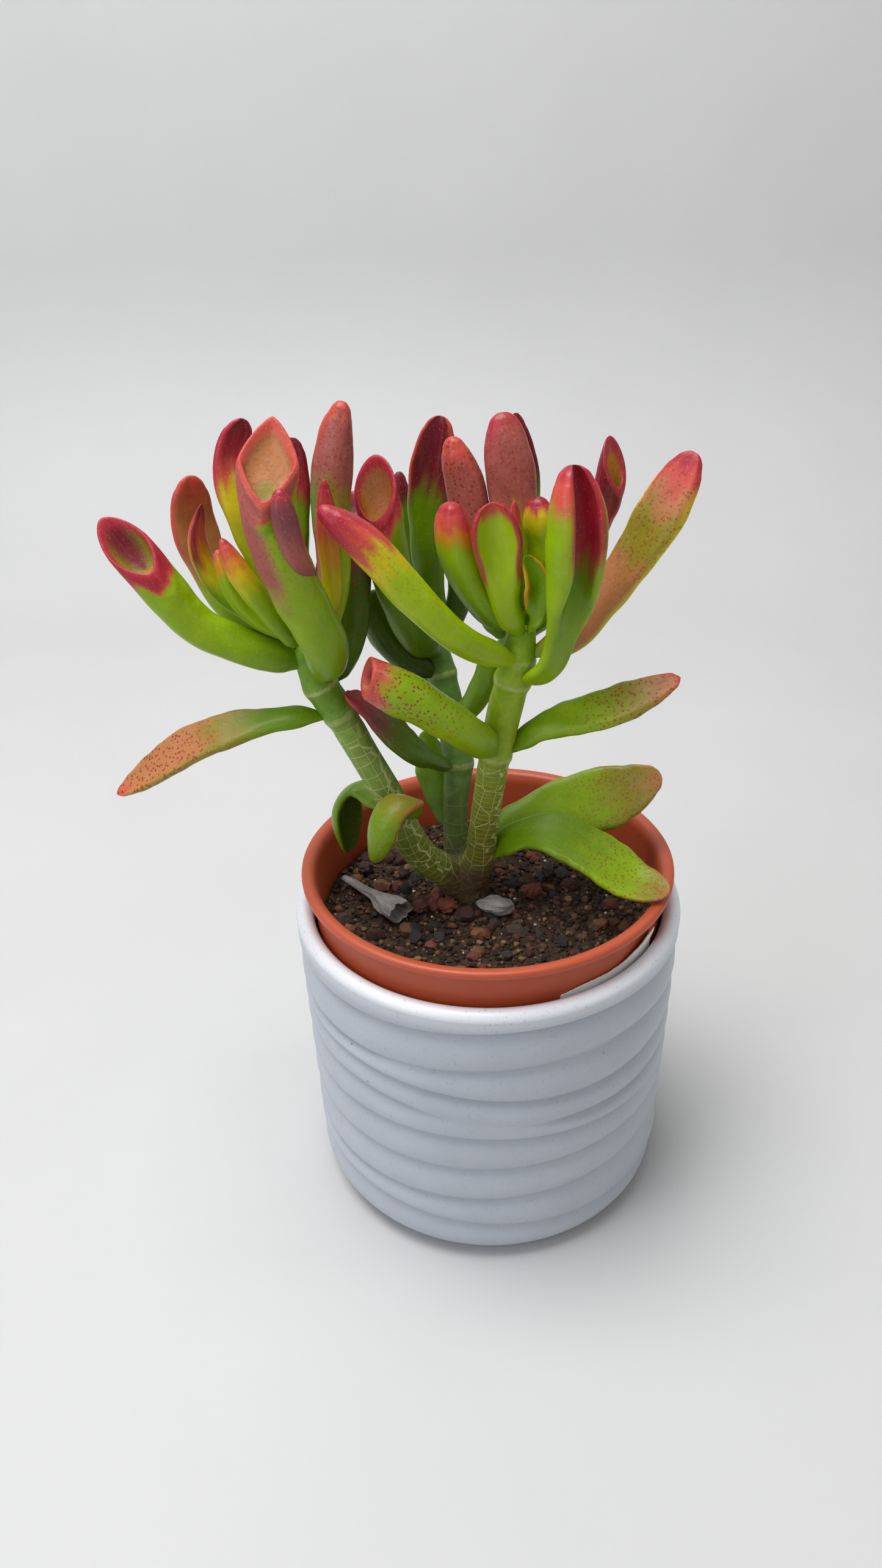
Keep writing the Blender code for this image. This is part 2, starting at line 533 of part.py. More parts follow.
def leaf_ring(leaf, route, along, share, size, sink, slant):
    """One cross-section; sink moves it back down the leaf, slant leans its upper side back."""
    index = round(share * LEAF_STEPS)
    tangent = along[index]
    face = Vector(leaf.face)
    upper = (face - tangent * face.dot(tangent)).normalized()
    side = tangent.cross(upper)
    wide = leaf.width / 2 * PLANT_SCALE * size
    thick = leaf.thick / 2 * PLANT_SCALE * size
    ring = []
    for angle in circle(LEAF_SIDES[leaf.kind]):
        rise = thick * math.sin(angle)
        back = sink + slant * rise
        ring.append(route[index] + side * (wide * math.cos(angle)) + upper * rise - tangent * back)
    return ring


def make_leaf(leaf, finish):
    sections = [(share, size, 0.0, 0.0) for share, size in OUTLINES[leaf.kind]]
    if leaf.kind == "trumpet":
        sections = [(share, size, 0.0, MOUTH_SLANT * max(0.0, 2 * share - 1))
                    for share, size in OUTLINES[leaf.kind]]
        edge, floor = MOUTH_SIZES
        sections += [(1.0, edge, 0.0, MOUTH_SLANT), (1.0, floor, CUP_DEPTH * PLANT_SCALE, MOUTH_SLANT)]
    route = leaf_route(leaf)
    along = tangents(route)
    rings = [leaf_ring(leaf, route, along, *section) for section in sections]
    return add_object(leaf.name, loft(rings), finish)


# ------------------------------------------------------------------ dried leaves on the soil
def make_dried_leaf(name, points, finish):
    """A shrunken leaf lying on the mix, given by the places and sizes of its rings."""
    first, last = Vector(points[0]), Vector(points[-1])
    across = (last - first).xy.orthogonal().normalized()
    rings = []
    for x, y, radius in points:
        ring = []
        for angle in circle(LEAF_SIDES["curl"]):
            out = radius * math.cos(angle)
            rise = radius * DRIED_FLATNESS * (1.0 + math.sin(angle))
            ring.append((x * PLANT_SCALE + across.x * out, y * PLANT_SCALE + across.y * out,
                         SOIL_TOP + GAP + rise))
        rings.append(ring)
    return add_object(name, loft(rings), finish)


def main():
    for leftover in list(bpy.data.objects):
        bpy.data.objects.remove(leftover)
    finishes = make_materials()
    make_ceramic_pot(finishes["glaze"])
    make_nursery_pot(finishes["plastic"])
    make_label(finishes["paper"])
    make_soil(finishes["soil"])
    make_stones(finishes["lava"])
    make_trunk(finishes["bark"])
    for name in STEMS:
        make_stem(name, finishes["bark"])
    for leaf in LEAVES:
        make_leaf(leaf, finishes["leaf"])
    for name, points in DRIED_LEAVES.items():
        make_dried_leaf(name, points, finishes["dry"])


main()
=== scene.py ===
# %% [markdown]
# # A potted finger jade
# A finger jade is a small succulent tree. Its rolled leaves end in red trumpets and its stems turn corky with
# age. This one grows in a thin plastic nursery pot that stands inside a heavier ceramic pot with thrown ribs.
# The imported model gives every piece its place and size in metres. The fine shapes are built right around it.

# %% Load the frame
import math
import random
from collections import namedtuple

import bmesh
import bpy
from mathutils import Matrix, Vector, noise
from mathutils.kdtree import KDTree


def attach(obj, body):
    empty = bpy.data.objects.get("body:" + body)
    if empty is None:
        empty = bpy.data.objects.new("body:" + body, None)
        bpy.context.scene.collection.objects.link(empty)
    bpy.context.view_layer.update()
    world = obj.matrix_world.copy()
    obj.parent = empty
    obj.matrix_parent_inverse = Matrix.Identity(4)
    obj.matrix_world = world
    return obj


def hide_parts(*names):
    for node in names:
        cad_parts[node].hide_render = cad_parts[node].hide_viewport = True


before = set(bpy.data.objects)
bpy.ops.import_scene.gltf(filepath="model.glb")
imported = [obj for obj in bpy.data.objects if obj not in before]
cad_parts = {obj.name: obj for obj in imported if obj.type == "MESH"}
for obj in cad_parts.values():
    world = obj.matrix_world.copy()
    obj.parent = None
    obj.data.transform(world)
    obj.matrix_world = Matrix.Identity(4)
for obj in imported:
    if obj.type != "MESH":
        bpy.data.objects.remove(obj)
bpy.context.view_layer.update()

# %% [markdown]
# ## Helpers
# Hex colours are what a paint chart or a picker gives, but a shader works with linear light. One function
# turns the one into the other. Two more fill a node's sockets and add a node with its settings, so that each
# material below reads as a short list. Lengths are given in millimetres, as on a drawing, and `mm` makes
# them metres.

# %% Colours, nodes and lengths
MM = 0.001


def mm(x, y, z):
    return Vector((x, y, z)) * MM


def linear(hex_code):
    """An sRGB hex colour as linear red, green, blue and a full alpha."""
    channels = [int(hex_code[start:start + 2], 16) / 255 for start in (1, 3, 5)]
    return (*[c / 12.92 if c <= 0.04045 else ((c + 0.055) / 1.055) ** 2.4 for c in channels], 1.0)


def blend(first, second, share):
    """A colour or number between two others."""
    if isinstance(first, (int, float)):
        return first + (second - first) * share
    return tuple(a + (b - a) * share for a, b in zip(first, second))


def ease(value, start, end):
    """0 before start, 1 after end, and a smooth climb between."""
    share = min(1.0, max(0.0, (value - start) / (end - start)))
    return share * share * (3 - 2 * share)


def plug(node, sockets):
    """Fill a node's sockets. Each takes a plain value, a hex colour, or another node's output as a link.
    A node given whole stands for the first of its outputs that is in use."""
    for key, value in sockets.items():
        if isinstance(value, bpy.types.Node):
            value = next(output for output in value.outputs if output.enabled)
        if isinstance(value, bpy.types.NodeSocket):
            node.id_data.links.new(value, node.inputs[key])
        else:
            node.inputs[key].default_value = linear(value) if isinstance(value, str) else value


def add(tree, kind, sockets=None, **settings):
    """Add a node with its settings, and fill its sockets."""
    node = tree.nodes.new("ShaderNode" + kind)
    for name, value in settings.items():
        setattr(node, name, value)
    plug(node, sockets or {})
    return node


def start_material(name, **uniform):
    """A new material, its node tree and its shader, with the values that are the same all over."""
    made = bpy.data.materials.new(name)
    made.use_nodes = True
    shader = made.node_tree.nodes["Principled BSDF"]
    for socket, value in uniform.items():
        shader.inputs[socket.replace("_", " ")].default_value = value
    return made, made.node_tree, shader


MIX_A, MIX_B = 6, 7                  # the colour sockets of a Mix node; 4 and 5 are its vectors


def stand_up(name, bm, finish=None):
    """Turn a bmesh into an object of the scene."""
    mesh = bpy.data.meshes.new(name)
    bm.to_mesh(mesh)
    bm.free()
    if finish:
        mesh.materials.append(finish)
        mesh.shade_smooth()
    made = bpy.data.objects.new(name, mesh)
    bpy.context.scene.collection.objects.link(made)
    return made


def apply_modifiers(made):
    bpy.context.view_layer.objects.active = made
    for modifier in list(made.modifiers):
        bpy.ops.object.modifier_apply(modifier=modifier.name)


def finish_piece(name, bm, finish, replaced=(), smooth_angle=60):
    """Make a bmesh a piece of the object, with its finish, its body and the CAD nodes it stands for."""
    bmesh.ops.recalc_face_normals(bm, faces=bm.faces)
    piece = stand_up(name, bm, finish)
    piece.data.set_sharp_from_angle(angle=math.radians(smooth_angle))
    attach(piece, "root")
    if replaced:
        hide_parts(*replaced)
    return piece


def circle(sides):
    return [math.tau * index / sides for index in range(sides)]


def loft(rings, colours=None, grains=None, dots=None):
    """A closed skin through rings of points in millimetres, each with its colour, grain and dots if given."""
    bm = bmesh.new()
    place = bm.verts.layers.int.new("place")
    tint = bm.verts.layers.float_color.new("tint")
    grain = bm.verts.layers.float_vector.new("grain")
    dotted = bm.verts.layers.float.new("dots")
    verts = bmesh.ops.create_circle(bm, cap_ends=True, segments=len(rings[0]), radius=1.0)["verts"]
    for index, vert in enumerate(verts):
        vert[place] = index
    edges = list(bm.edges)
    for row, ring in enumerate(rings):
        if row:
            geometry = bmesh.ops.extrude_edge_only(bm, edges=edges)["geom"]
            edges = [item for item in geometry if isinstance(item, bmesh.types.BMEdge)]
            verts = {vert for edge in edges for vert in edge.verts}
        for vert in verts:
            index = vert[place]
            vert.co = Vector(ring[index]) * MM
            if colours:
                vert[tint] = colours[row][index]
            if grains:
                vert[grain] = Vector(grains[row][index]) * MM
            if dots:
                vert[dotted] = dots[row][index]
    bmesh.ops.contextual_create(bm, geom=edges)
    return bm


print("helpers ready; mid grey is", round(linear("#808080")[0], 3), "in linear light")

# %% [markdown]
# ## Camera, light and floor
# The camera comes early, so that every later piece can be judged through it. It looks down at the plant from
# a little above, as a person at a table does. The light is a large soft panel overhead and to the left, with
# a weaker one from the front, over an even pale surround. The floor sweeps up into a pale wall, so there is
# no hard edge behind the plant.

# %% Camera
CAMERA_PLACE = (0.0, -0.2989, 0.3178)
YAW, PITCH, ROLL = (math.radians(angle) for angle in (-2.70, 29.62, -1.74))
SENSOR_HEIGHT = 36.0
FOCAL_LENGTH = 25.22
forward = Vector((math.sin(YAW) * math.cos(PITCH), math.cos(YAW) * math.cos(PITCH), -math.sin(PITCH)))
right = forward.cross(Vector((0, 0, 1))).normalized()
up = right.cross(forward)
rolled_right = math.cos(ROLL) * right + math.sin(ROLL) * up
rolled_up = math.cos(ROLL) * up - math.sin(ROLL) * right
camera = bpy.data.objects.new("camera", bpy.data.cameras.new("camera"))
bpy.context.scene.collection.objects.link(camera)
bpy.context.scene.camera = camera
turn = Matrix((rolled_right, rolled_up, -forward)).transposed().to_4x4()
camera.matrix_world = Matrix.Translation(CAMERA_PLACE) @ turn
camera.data.sensor_fit = "VERTICAL"
camera.data.sensor_height = SENSOR_HEIGHT
camera.data.lens = FOCAL_LENGTH
camera.data.clip_start = 0.01
print("camera looks along", [round(value, 3) for value in forward])

# %% Light
def add_panel(name, place, size, power, colour):
    """A square area light that looks at the plant."""
    light = bpy.data.lights.new(name, "AREA")
    light.size = size
    light.energy = power
    light.color = linear(colour)[:3]
    lamp = bpy.data.objects.new(name, light)
    bpy.context.scene.collection.objects.link(lamp)
    lamp.location = place
    lamp.rotation_euler = (Vector((0, 0, 0.15)) - Vector(place)).to_track_quat("-Z", "Y").to_euler()


add_panel("ceiling panel", (-0.35, -0.05, 1.5), 0.9, 22.0, "#ffffff")
add_panel("window panel", (-1.1, -0.9, 0.9), 0.9, 6.5, "#f4f7ff")
add_panel("room panel", (1.2, -0.6, 0.8), 0.8, 1.6, "#fffdf8")
surround = bpy.data.worlds.new("even surround")
surround.use_nodes = True
surround.node_tree.nodes["Background"].inputs["Color"].default_value = linear("#eef0f2")
surround.node_tree.nodes["Background"].inputs["Strength"].default_value = 0.36
bpy.context.scene.world = surround
bpy.context.scene.view_settings.view_transform = "Standard"
print("lights:", [light.name for light in bpy.data.lights])

# %% Floor
painted, tree, shader = start_material("matt painted board", Roughness=0.6)
where = add(tree, "TexCoord").outputs["Object"]
mottle = add(tree, "TexNoise", {"Vector": where, "Scale": 9.0, "Detail": 4.0})
paint = add(tree, "Mix", {0: mottle, MIX_A: "#c5c5c4", MIX_B: "#cccccb"}, data_type="RGBA")
plug(shader, {"Base Color": paint})
SWEEP = 0.25                          # radius of the curve between floor and wall, metres
WALL_AT = 0.75
bm = bmesh.new()
profile = [bm.verts.new((-3, -3, 0)), bm.verts.new((-3, WALL_AT - SWEEP, 0))]
for step in range(1, 13):
    turn = math.radians(90 * step / 12)
    profile.append(bm.verts.new((-3, WALL_AT - SWEEP + SWEEP * math.sin(turn), SWEEP * (1 - math.cos(turn)))))
profile.append(bm.verts.new((-3, WALL_AT, 3)))
edges = [bm.edges.new(pair) for pair in zip(profile, profile[1:])]
moved = bmesh.ops.extrude_edge_only(bm, edges=edges)["geom"]
bmesh.ops.translate(bm, verts=[item for item in moved if isinstance(item, bmesh.types.BMVert)], vec=(6, 0, 0))
floor = stand_up("floor", bm, painted)
print("floor faces:", len(floor.data.polygons))

# %% [markdown]
# ## The ceramic pot
# The outer pot is stoneware, thrown or cast with soft horizontal ribs that wander up and down, then glazed a
# satin blue-grey white. A turned piece is made by spinning one outline, but wandering ribs have no single
# outline. So rings are drawn one above another, and each point of a ring is pressed in by how near it lies to
# a groove. The lower lip of each rib is the sharp one, which is what catches the shade.

# %% Shape of the ceramic pot
CERAMIC_HEIGHT = 108.0
CERAMIC_RADIUS = 63.0
CERAMIC_TAPER = 2.6
CERAMIC_WALL = 5.8
CERAMIC_FLOOR = 6.0
CERAMIC_FOOT_ROUND = 12.0
RIB_DEPTH = 2.1
CREST = 0.34                          # where a rib stands out most, from the groove under it to the one above
Groove = namedtuple("Groove", "height sway turns phase fades_at fade_width")
GROOVES = [
    Groove(0.150, -0.039, 1, 0, None, 0),
    Groove(0.262, 0.026, 1, 0, None, 0),
    Groove(0.390, 0.018, 1, 0, None, 0),
    Groove(0.501, 0.020, 2, 95, 80, 30),
    Groove(0.590, -0.027, 2, 5, 0, 20),
    Groove(0.681, -0.030, 2, 20, None, 0),
    Groove(0.773, 0.022, 2, 25, None, 0),
    Groove(0.914, 0.020, 2, 35, None, 0),
]
POT_SIDES = 180


def turned(radius, level, angle):
    """A point of a turned piece; angle 0 is the front and it grows to the right."""
    return (radius * math.sin(angle), -radius * math.cos(angle), level)


def groove_at(groove, angle):
    """Height and depth of a groove. Some grooves die out over part of the way round."""
    wander = groove.sway * math.sin(groove.turns * angle + math.radians(groove.phase))
    depth = RIB_DEPTH
    if groove.fades_at is not None:
        away = (math.degrees(angle) - groove.fades_at + 180) % 360 - 180
        depth *= 0.12 + 0.88 * ease(abs(away), 0.3 * groove.fade_width, 1.6 * groove.fade_width)
    return CERAMIC_HEIGHT * (groove.height + wander), depth


def ceramic_wall_radius(level):
    radius = CERAMIC_RADIUS - CERAMIC_TAPER * (1.0 - level / CERAMIC_HEIGHT)
    if level < CERAMIC_FOOT_ROUND:
        drop = 1.0 - level / CERAMIC_FOOT_ROUND
        radius -= CERAMIC_FOOT_ROUND * (1.0 - math.sqrt(1.0 - drop * drop))
    return radius


angles = circle(POT_SIDES)
half_wall = CERAMIC_WALL / 2
rim_start = CERAMIC_HEIGHT - half_wall
inside = CERAMIC_RADIUS - CERAMIC_WALL
foot_radius = ceramic_wall_radius(0.0)
FOOT = [(8, 1.2), (foot_radius - 5, 1.2), (foot_radius - 4, 0.3), (foot_radius - 3, 0.0), (foot_radius, 0.0),
        (ceramic_wall_radius(0.5), 0.5)]
rings = [[turned(radius, level, angle) for angle in angles] for radius, level in FOOT]
lines = [[(1.5, 0.0)] * POT_SIDES]
lines += [[groove_at(groove, angle) for angle in angles] for groove in GROOVES]
lines += [[(rim_start, 0.0)] * POT_SIDES]
for lower, upper in zip(lines, lines[1:]):
    for share in (0.0, 0.025, 0.07, 0.14, 0.22, CREST, 0.5, 0.66, 0.8, 0.9, 0.96):
        ring = []
        for angle, (low, low_depth), (high, high_depth) in zip(angles, lower, upper):
            level = low + (high - low) * share
            if share < CREST:
                dip = low_depth * ((CREST - share) / CREST) ** 2
            else:
                dip = high_depth * ((share - CREST) / (1 - CREST)) ** 2
            ring.append(turned(ceramic_wall_radius(level) - dip, level, angle))
        rings.append(ring)
for degrees in range(0, 190, 12):
    turn = math.radians(degrees)
    level = CERAMIC_HEIGHT - half_wall + half_wall * math.sin(turn)
    rings.append([turned(inside + half_wall + half_wall * math.cos(turn), level, angle) for angle in angles])
for radius, level in ((inside, 96), (inside, 60), (inside - 0.5, 30), (inside - 1, 12), (inside - 2, 8.5),
                      (inside - 5, 6.3), (inside - 9, CERAMIC_FLOOR), (8, CERAMIC_FLOOR)):
    rings.append([turned(radius, level, angle) for angle in angles])
ceramic_mesh = loft(rings)
print("ceramic pot:", len(rings), "rings of", POT_SIDES)

# %% [markdown]
# The glaze is a satin tin-white over a blue-grey body, a little cloudy all over. The top of the rim is
# painted paler, a painted highlight where it faces the light from above. Iron in the clay shows through
# as rare tiny dark specks.

# %% Satin stoneware glaze
glaze, tree, shader = start_material("satin stoneware glaze", Roughness=0.36, IOR=1.5, Coat_Weight=0.12,
                                     Coat_Roughness=0.25)
where = add(tree, "TexCoord").outputs["Object"]
height = add(tree, "SeparateXYZ", {"Vector": where})
# painted highlight: the glaze is made paler over the top few millimetres of the rim, where the light from
# above falls
painted_rim_highlight_share = add(tree, "MapRange", {"Value": height.outputs["Z"], "From Min": 0.101, "From Max": 0.107})
clouds = add(tree, "TexNoise", {"Vector": where, "Scale": 45.0, "Detail": 5.0, "Roughness": 0.6})
body_glaze = add(tree, "Mix", {0: clouds, MIX_A: "#abb2bc", MIX_B: "#bcc2cb"}, data_type="RGBA")
glaze_with_painted_rim_highlight = add(tree, "Mix", {0: painted_rim_highlight_share, MIX_A: body_glaze, MIX_B: "#dfe3e8"}, data_type="RGBA")
freckles = add(tree, "TexNoise", {"Vector": where, "Scale": 900.0, "Detail": 2.0})
freckle_share = add(tree, "MapRange", {"Value": freckles, "From Min": 0.62, "From Max": 0.75, "To Max": 0.45})
freckled = add(tree, "Mix", {0: freckle_share, MIX_A: glaze_with_painted_rim_highlight, MIX_B: "#8f99a8"}, data_type="RGBA")
specks = add(tree, "TexVoronoi", {"Vector": where, "Scale": 95.0})
speck_share = add(tree, "MapRange", {"Value": specks, "From Min": 0.045, "From Max": 0.025, "To Max": 0.6})
specked = add(tree, "Mix", {0: speck_share, MIX_A: freckled, MIX_B: "#4c4a49"}, data_type="RGBA")
peel = add(tree, "Bump", {"Height": freckles, "Strength": 0.12, "Distance": 0.0003})
plug(shader, {"Base Color": specked, "Normal": peel})
finish_piece("stoneware_pot", ceramic_mesh, glaze, ["ceramic_pot"])
print("glaze nodes:", len(tree.nodes))

# %% [markdown]
# ## The nursery pot
# The inner pot is blow-thin polypropylene in terracotta red. It has one outline, so it is turned from that
# outline: a lip rolled over the wall, the wall, and a base that stands on a ring with drain holes.

# %% Shape of the nursery pot
CLEARANCE = 0.3
LIP_HEIGHT = 2.6
NURSERY_FOOT = CERAMIC_FLOOR + CLEARANCE
NURSERY_TOP = CERAMIC_HEIGHT + 12.8
UNDER_LIP = NURSERY_TOP - LIP_HEIGHT
NURSERY_TAPER = 13.4
BAND_FOOT = UNDER_LIP - 18.0         # the wall is straight above this
NURSERY_WALL = 1.2
WALL_TOP = inside - 1.0
NURSERY_RIM = WALL_TOP + 3.8
NURSERY_BASE = WALL_TOP - NURSERY_TAPER
NURSERY_FLOOR = NURSERY_FOOT + 4.2
SOIL_TOP = NURSERY_TOP - 18.0


def nursery_outer_radius(level):
    return NURSERY_BASE + NURSERY_TAPER * min(1.0, (level - NURSERY_FOOT) / (BAND_FOOT - NURSERY_FOOT))


def nursery_inner_radius(level):
    return nursery_outer_radius(level) - NURSERY_WALL


outline = [(8, NURSERY_FOOT + 3), (NURSERY_BASE - 3, NURSERY_FOOT + 3),
           (NURSERY_BASE - 2.2, NURSERY_FOOT + 2.4), (NURSERY_BASE - 2, NURSERY_FOOT + 0.3),
           (NURSERY_BASE - 1.7, NURSERY_FOOT), (NURSERY_BASE - 0.3, NURSERY_FOOT),
           (NURSERY_BASE, NURSERY_FOOT + 0.3)]
for share in (0.3, 0.6, 0.85, 0.97, 1.03, 1.12):
    level = NURSERY_FOOT + share * (BAND_FOOT - NURSERY_FOOT)
    outline.append((nursery_outer_radius(level), level))
outline += [(WALL_TOP - 0.1, UNDER_LIP - 0.7), (WALL_TOP + 0.3, UNDER_LIP - 0.1),
            (NURSERY_RIM - 1.1, UNDER_LIP), (NURSERY_RIM - 0.4, UNDER_LIP + 0.2),
            (NURSERY_RIM - 0.05, UNDER_LIP + 0.55), (NURSERY_RIM, UNDER_LIP + 1.2),
            (NURSERY_RIM - 0.1, NURSERY_TOP - 0.7), (NURSERY_RIM - 0.5, NURSERY_TOP - 0.2),
            (NURSERY_RIM - 1.2, NURSERY_TOP), (NURSERY_RIM - 2.2, NURSERY_TOP - 0.05),
            (NURSERY_RIM - 3.2, NURSERY_TOP - 0.35), (NURSERY_RIM - 4.1, NURSERY_TOP - 1.1),
            (WALL_TOP - NURSERY_WALL, UNDER_LIP - 1.2)]
for share in (0.97, 0.7, 0.4, 0.06):
    level = NURSERY_FLOOR + share * (BAND_FOOT - NURSERY_FLOOR)
    outline.append((nursery_inner_radius(level), level))
outline += [(nursery_inner_radius(NURSERY_FLOOR) - 1.2, NURSERY_FLOOR), (8, NURSERY_FLOOR)]
nursery_mesh = loft([[turned(radius, level, angle) for angle in circle(120)] for radius, level in outline])
print("nursery pot:", len(outline), "rings; rim", NURSERY_RIM * 2, "mm across")

# %% Terracotta polypropylene
plastic, tree, shader = start_material("terracotta polypropylene", Roughness=0.42, IOR=1.49,
                                       Subsurface_Weight=0.12, Subsurface_Scale=0.001,
                                       Subsurface_Radius=(1.0, 0.3, 0.15))
where = add(tree, "TexCoord").outputs["Object"]
haze = add(tree, "TexNoise", {"Vector": where, "Scale": 60.0, "Detail": 6.0, "Roughness": 0.65})
dyed = add(tree, "Mix", {0: haze, MIX_A: "#b24a2a", MIX_B: "#bc5634"}, data_type="RGBA")
drawn = add(tree, "Mapping", {"Vector": where, "Scale": (30.0, 30.0, 900.0)})
lines = add(tree, "TexNoise", {"Vector": drawn, "Scale": 1.0, "Detail": 2.0})
ribbed = add(tree, "Bump", {"Height": lines, "Strength": 0.15, "Distance": 0.0003})
plug(shader, {"Base Color": dyed, "Normal": ribbed})
nursery = finish_piece("nursery_shell", nursery_mesh, plastic, ["nursery_pot"])
print("nursery pot finished")

# %% Drain holes
DRAIN_HOLES = 6
DRAIN_TURN = math.radians(12.0)
for angle in circle(DRAIN_HOLES):
    bm = bmesh.new()
    bmesh.ops.create_cone(bm, cap_ends=True, segments=24, radius1=4 * MM, radius2=4 * MM, depth=5 * MM)
    middle = turned(NURSERY_BASE - 17.2, NURSERY_FLOOR - 0.6, angle + DRAIN_TURN)
    bmesh.ops.translate(bm, verts=bm.verts, vec=mm(*middle))
    drill = stand_up("drain", bm)
    opening = nursery.modifiers.new("drain", "BOOLEAN")
    opening.operation = "DIFFERENCE"
    opening.object = drill
    apply_modifiers(nursery)
    bpy.data.objects.remove(drill)
print("drain holes:", DRAIN_HOLES)

# %% [markdown]
# ## The mix
# Succulents grow in a gritty mix: dark peat crumbs with red-brown and black lava granules, and a few white
# grains of perlite. The ground is a disc with a rough relief. The granules are simple lumps with one colour
# each, half sunk in it, and far more small crumbs than big stones.

# %% Ground
DEPTH_BELOW = 8.0
GROUND_SUNK = 0.6                    # the flat level lies this far under the CAD block's top
TRUNK_PLACE = Vector((-7, 6))
TRUNK_CLEAR = 8.6                    # no loose lump lies nearer to the trunk's middle
ground_radius = nursery_inner_radius(SOIL_TOP) - 0.1
GROUND_RINGS = 64
GROUND_SIDES = 200


def ground_height(x, y):
    """Height of the mix over its flat level: long swells, then crumbs; it dips a little at the wall."""
    place = Vector((x, y, 0.0))
    swell = 0.9 * noise.noise(place / 14) + 0.8 * noise.noise(place / 5)
    crumb = 0.55 * noise.noise(place / 2.1 + Vector((7, 0, 0))) + 0.4 * noise.noise(place / 1.0)
    heap = 1.4 * math.exp(-(place.xy - TRUNK_PLACE).length_squared / 220)
    edge = 1.2 * ease(math.hypot(x, y), ground_radius - 12, ground_radius)
    return swell + crumb + heap - edge


rings = [[turned(ground_radius, SOIL_TOP - DEPTH_BELOW, angle) for angle in circle(GROUND_SIDES)]]
for ring_index in range(GROUND_RINGS + 1):
    radius = ground_radius * (1 - 0.985 * ring_index / GROUND_RINGS)
    ring = []
    for angle in circle(GROUND_SIDES):
        x, y, level = turned(radius, SOIL_TOP, angle)
        ring.append((x, y, level - GROUND_SUNK + ground_height(x, y)))
    rings.append(ring)
ground_mesh = loft(rings)
print("ground:", GROUND_RINGS * GROUND_SIDES, "faces")

# %% Peat
peat, tree, shader = start_material("damp peat", Roughness=0.93, IOR=1.4)
where = add(tree, "TexCoord").outputs["Object"]
fine = add(tree, "TexNoise", {"Vector": where, "Scale": 700.0, "Detail": 6.0, "Roughness": 0.75})
lumps = add(tree, "TexVoronoi", {"Vector": where, "Scale": 480.0, "Randomness": 1.0}, feature="F1")
# darker where the fine relief is low: partly the peat's own mottled tone, partly painted shade in the hollows
# between crumbs
shade = add(tree, "Mix", {0: fine, MIX_A: "#150e0a", MIX_B: "#523e2e"}, data_type="RGBA")
grit = add(tree, "MapRange", {"Value": lumps.outputs["Color"], "From Min": 0.6, "From Max": 0.9,
           "To Max": 0.5})
gritty = add(tree, "Mix", {0: grit, MIX_A: shade, MIX_B: "#74563b"}, data_type="RGBA")
rough_ground = add(tree, "Bump", {"Height": lumps, "Strength": 0.8, "Distance": 0.0008})
crumbly = add(tree, "Bump", {"Height": fine, "Strength": 0.6, "Distance": 0.0005, "Normal": rough_ground})
plug(shader, {"Base Color": gritty, "Normal": crumbly})
finish_piece("mix_ground", ground_mesh, peat, ["soil"])
print("peat nodes:", len(tree.nodes))

# %% Lava rock
lava, tree, shader = start_material("crushed lava rock", Roughness=0.88, IOR=1.5)
where = add(tree, "TexCoord").outputs["Object"]
own = add(tree, "VertexColor", layer_name="tint")
pores = add(tree, "TexNoise", {"Vector": where, "Scale": 1100.0, "Detail": 4.0, "Roughness": 0.7})
pore_share = add(tree, "MapRange", {"Value": pores, "From Min": 0.5, "From Max": 0.75, "To Max": 0.6})
pored = add(tree, "Mix", {0: pore_share, MIX_A: own, MIX_B: "#1c1210"}, data_type="RGBA")
pitted = add(tree, "Bump", {"Height": pores, "Strength": 0.7, "Distance": 0.0006})
plug(shader, {"Base Color": pored, "Normal": pitted})
print("lava nodes:", len(tree.nodes))

# %% Granules
LAVA_COLOURS = ["#6d3a2b", "#5a3227", "#7a4636", "#4c3a33", "#3a3432", "#2e2a29", "#61452f", "#83593a",
                "#4a2c23"]
CRUMB_COLOURS = ["#4a3627", "#3a2a20", "#5d4530", "#2b201a", "#241a15", "#6b4a33", "#8a6b48", "#33261d"]
WHITE_GRAIN = "#cfcabf"
draw = random.Random(41)


def add_lump(bm, centre, size, colour, flatness, detail):
    """One rough lump: a ball of few faces with its corners pushed about."""
    tint = bm.verts.layers.float_color["tint"]
    lump = bmesh.ops.create_icosphere(bm, subdivisions=detail, radius=size / 2 * MM)["verts"]
    stretch = (draw.uniform(0.8, 1.25), draw.uniform(0.8, 1.2), flatness)
    shade = draw.uniform(0.75, 1.2)
    colour = tuple(min(1.0, value * shade) for value in linear(colour)[:3]) + (1.0,)
    for vert in lump:
        push = 1.0 + draw.uniform(-0.22, 0.2)
        vert.co = Vector([value * push * factor for value, factor in zip(vert.co, stretch)]) + centre * MM
        vert[tint] = colour


def scatter(bm, count, sizes, colours, sunk, detail):
    """Lumps dropped on the ground, clear of the trunk, each sunk by a share of its size."""
    placed = 0
    while placed < count:
        radius = ground_radius * math.sqrt(draw.random())
        angle = draw.uniform(0, math.tau)
        x, y = radius * math.sin(angle), -radius * math.cos(angle)
        size = sizes[0] + (sizes[1] - sizes[0]) * draw.random() ** 2.2
        if radius > ground_radius - size * 0.6 or (Vector((x, y)) - TRUNK_PLACE).length < TRUNK_CLEAR:
            continue
        level = SOIL_TOP - GROUND_SUNK + ground_height(x, y) + size * (0.42 - sunk)
        add_lump(bm, Vector((x, y, level)), size, draw.choice(colours), 0.8, detail)
        placed += 1


def new_lumps():
    bm = bmesh.new()
    bm.verts.layers.float_color.new("tint")
    return bm


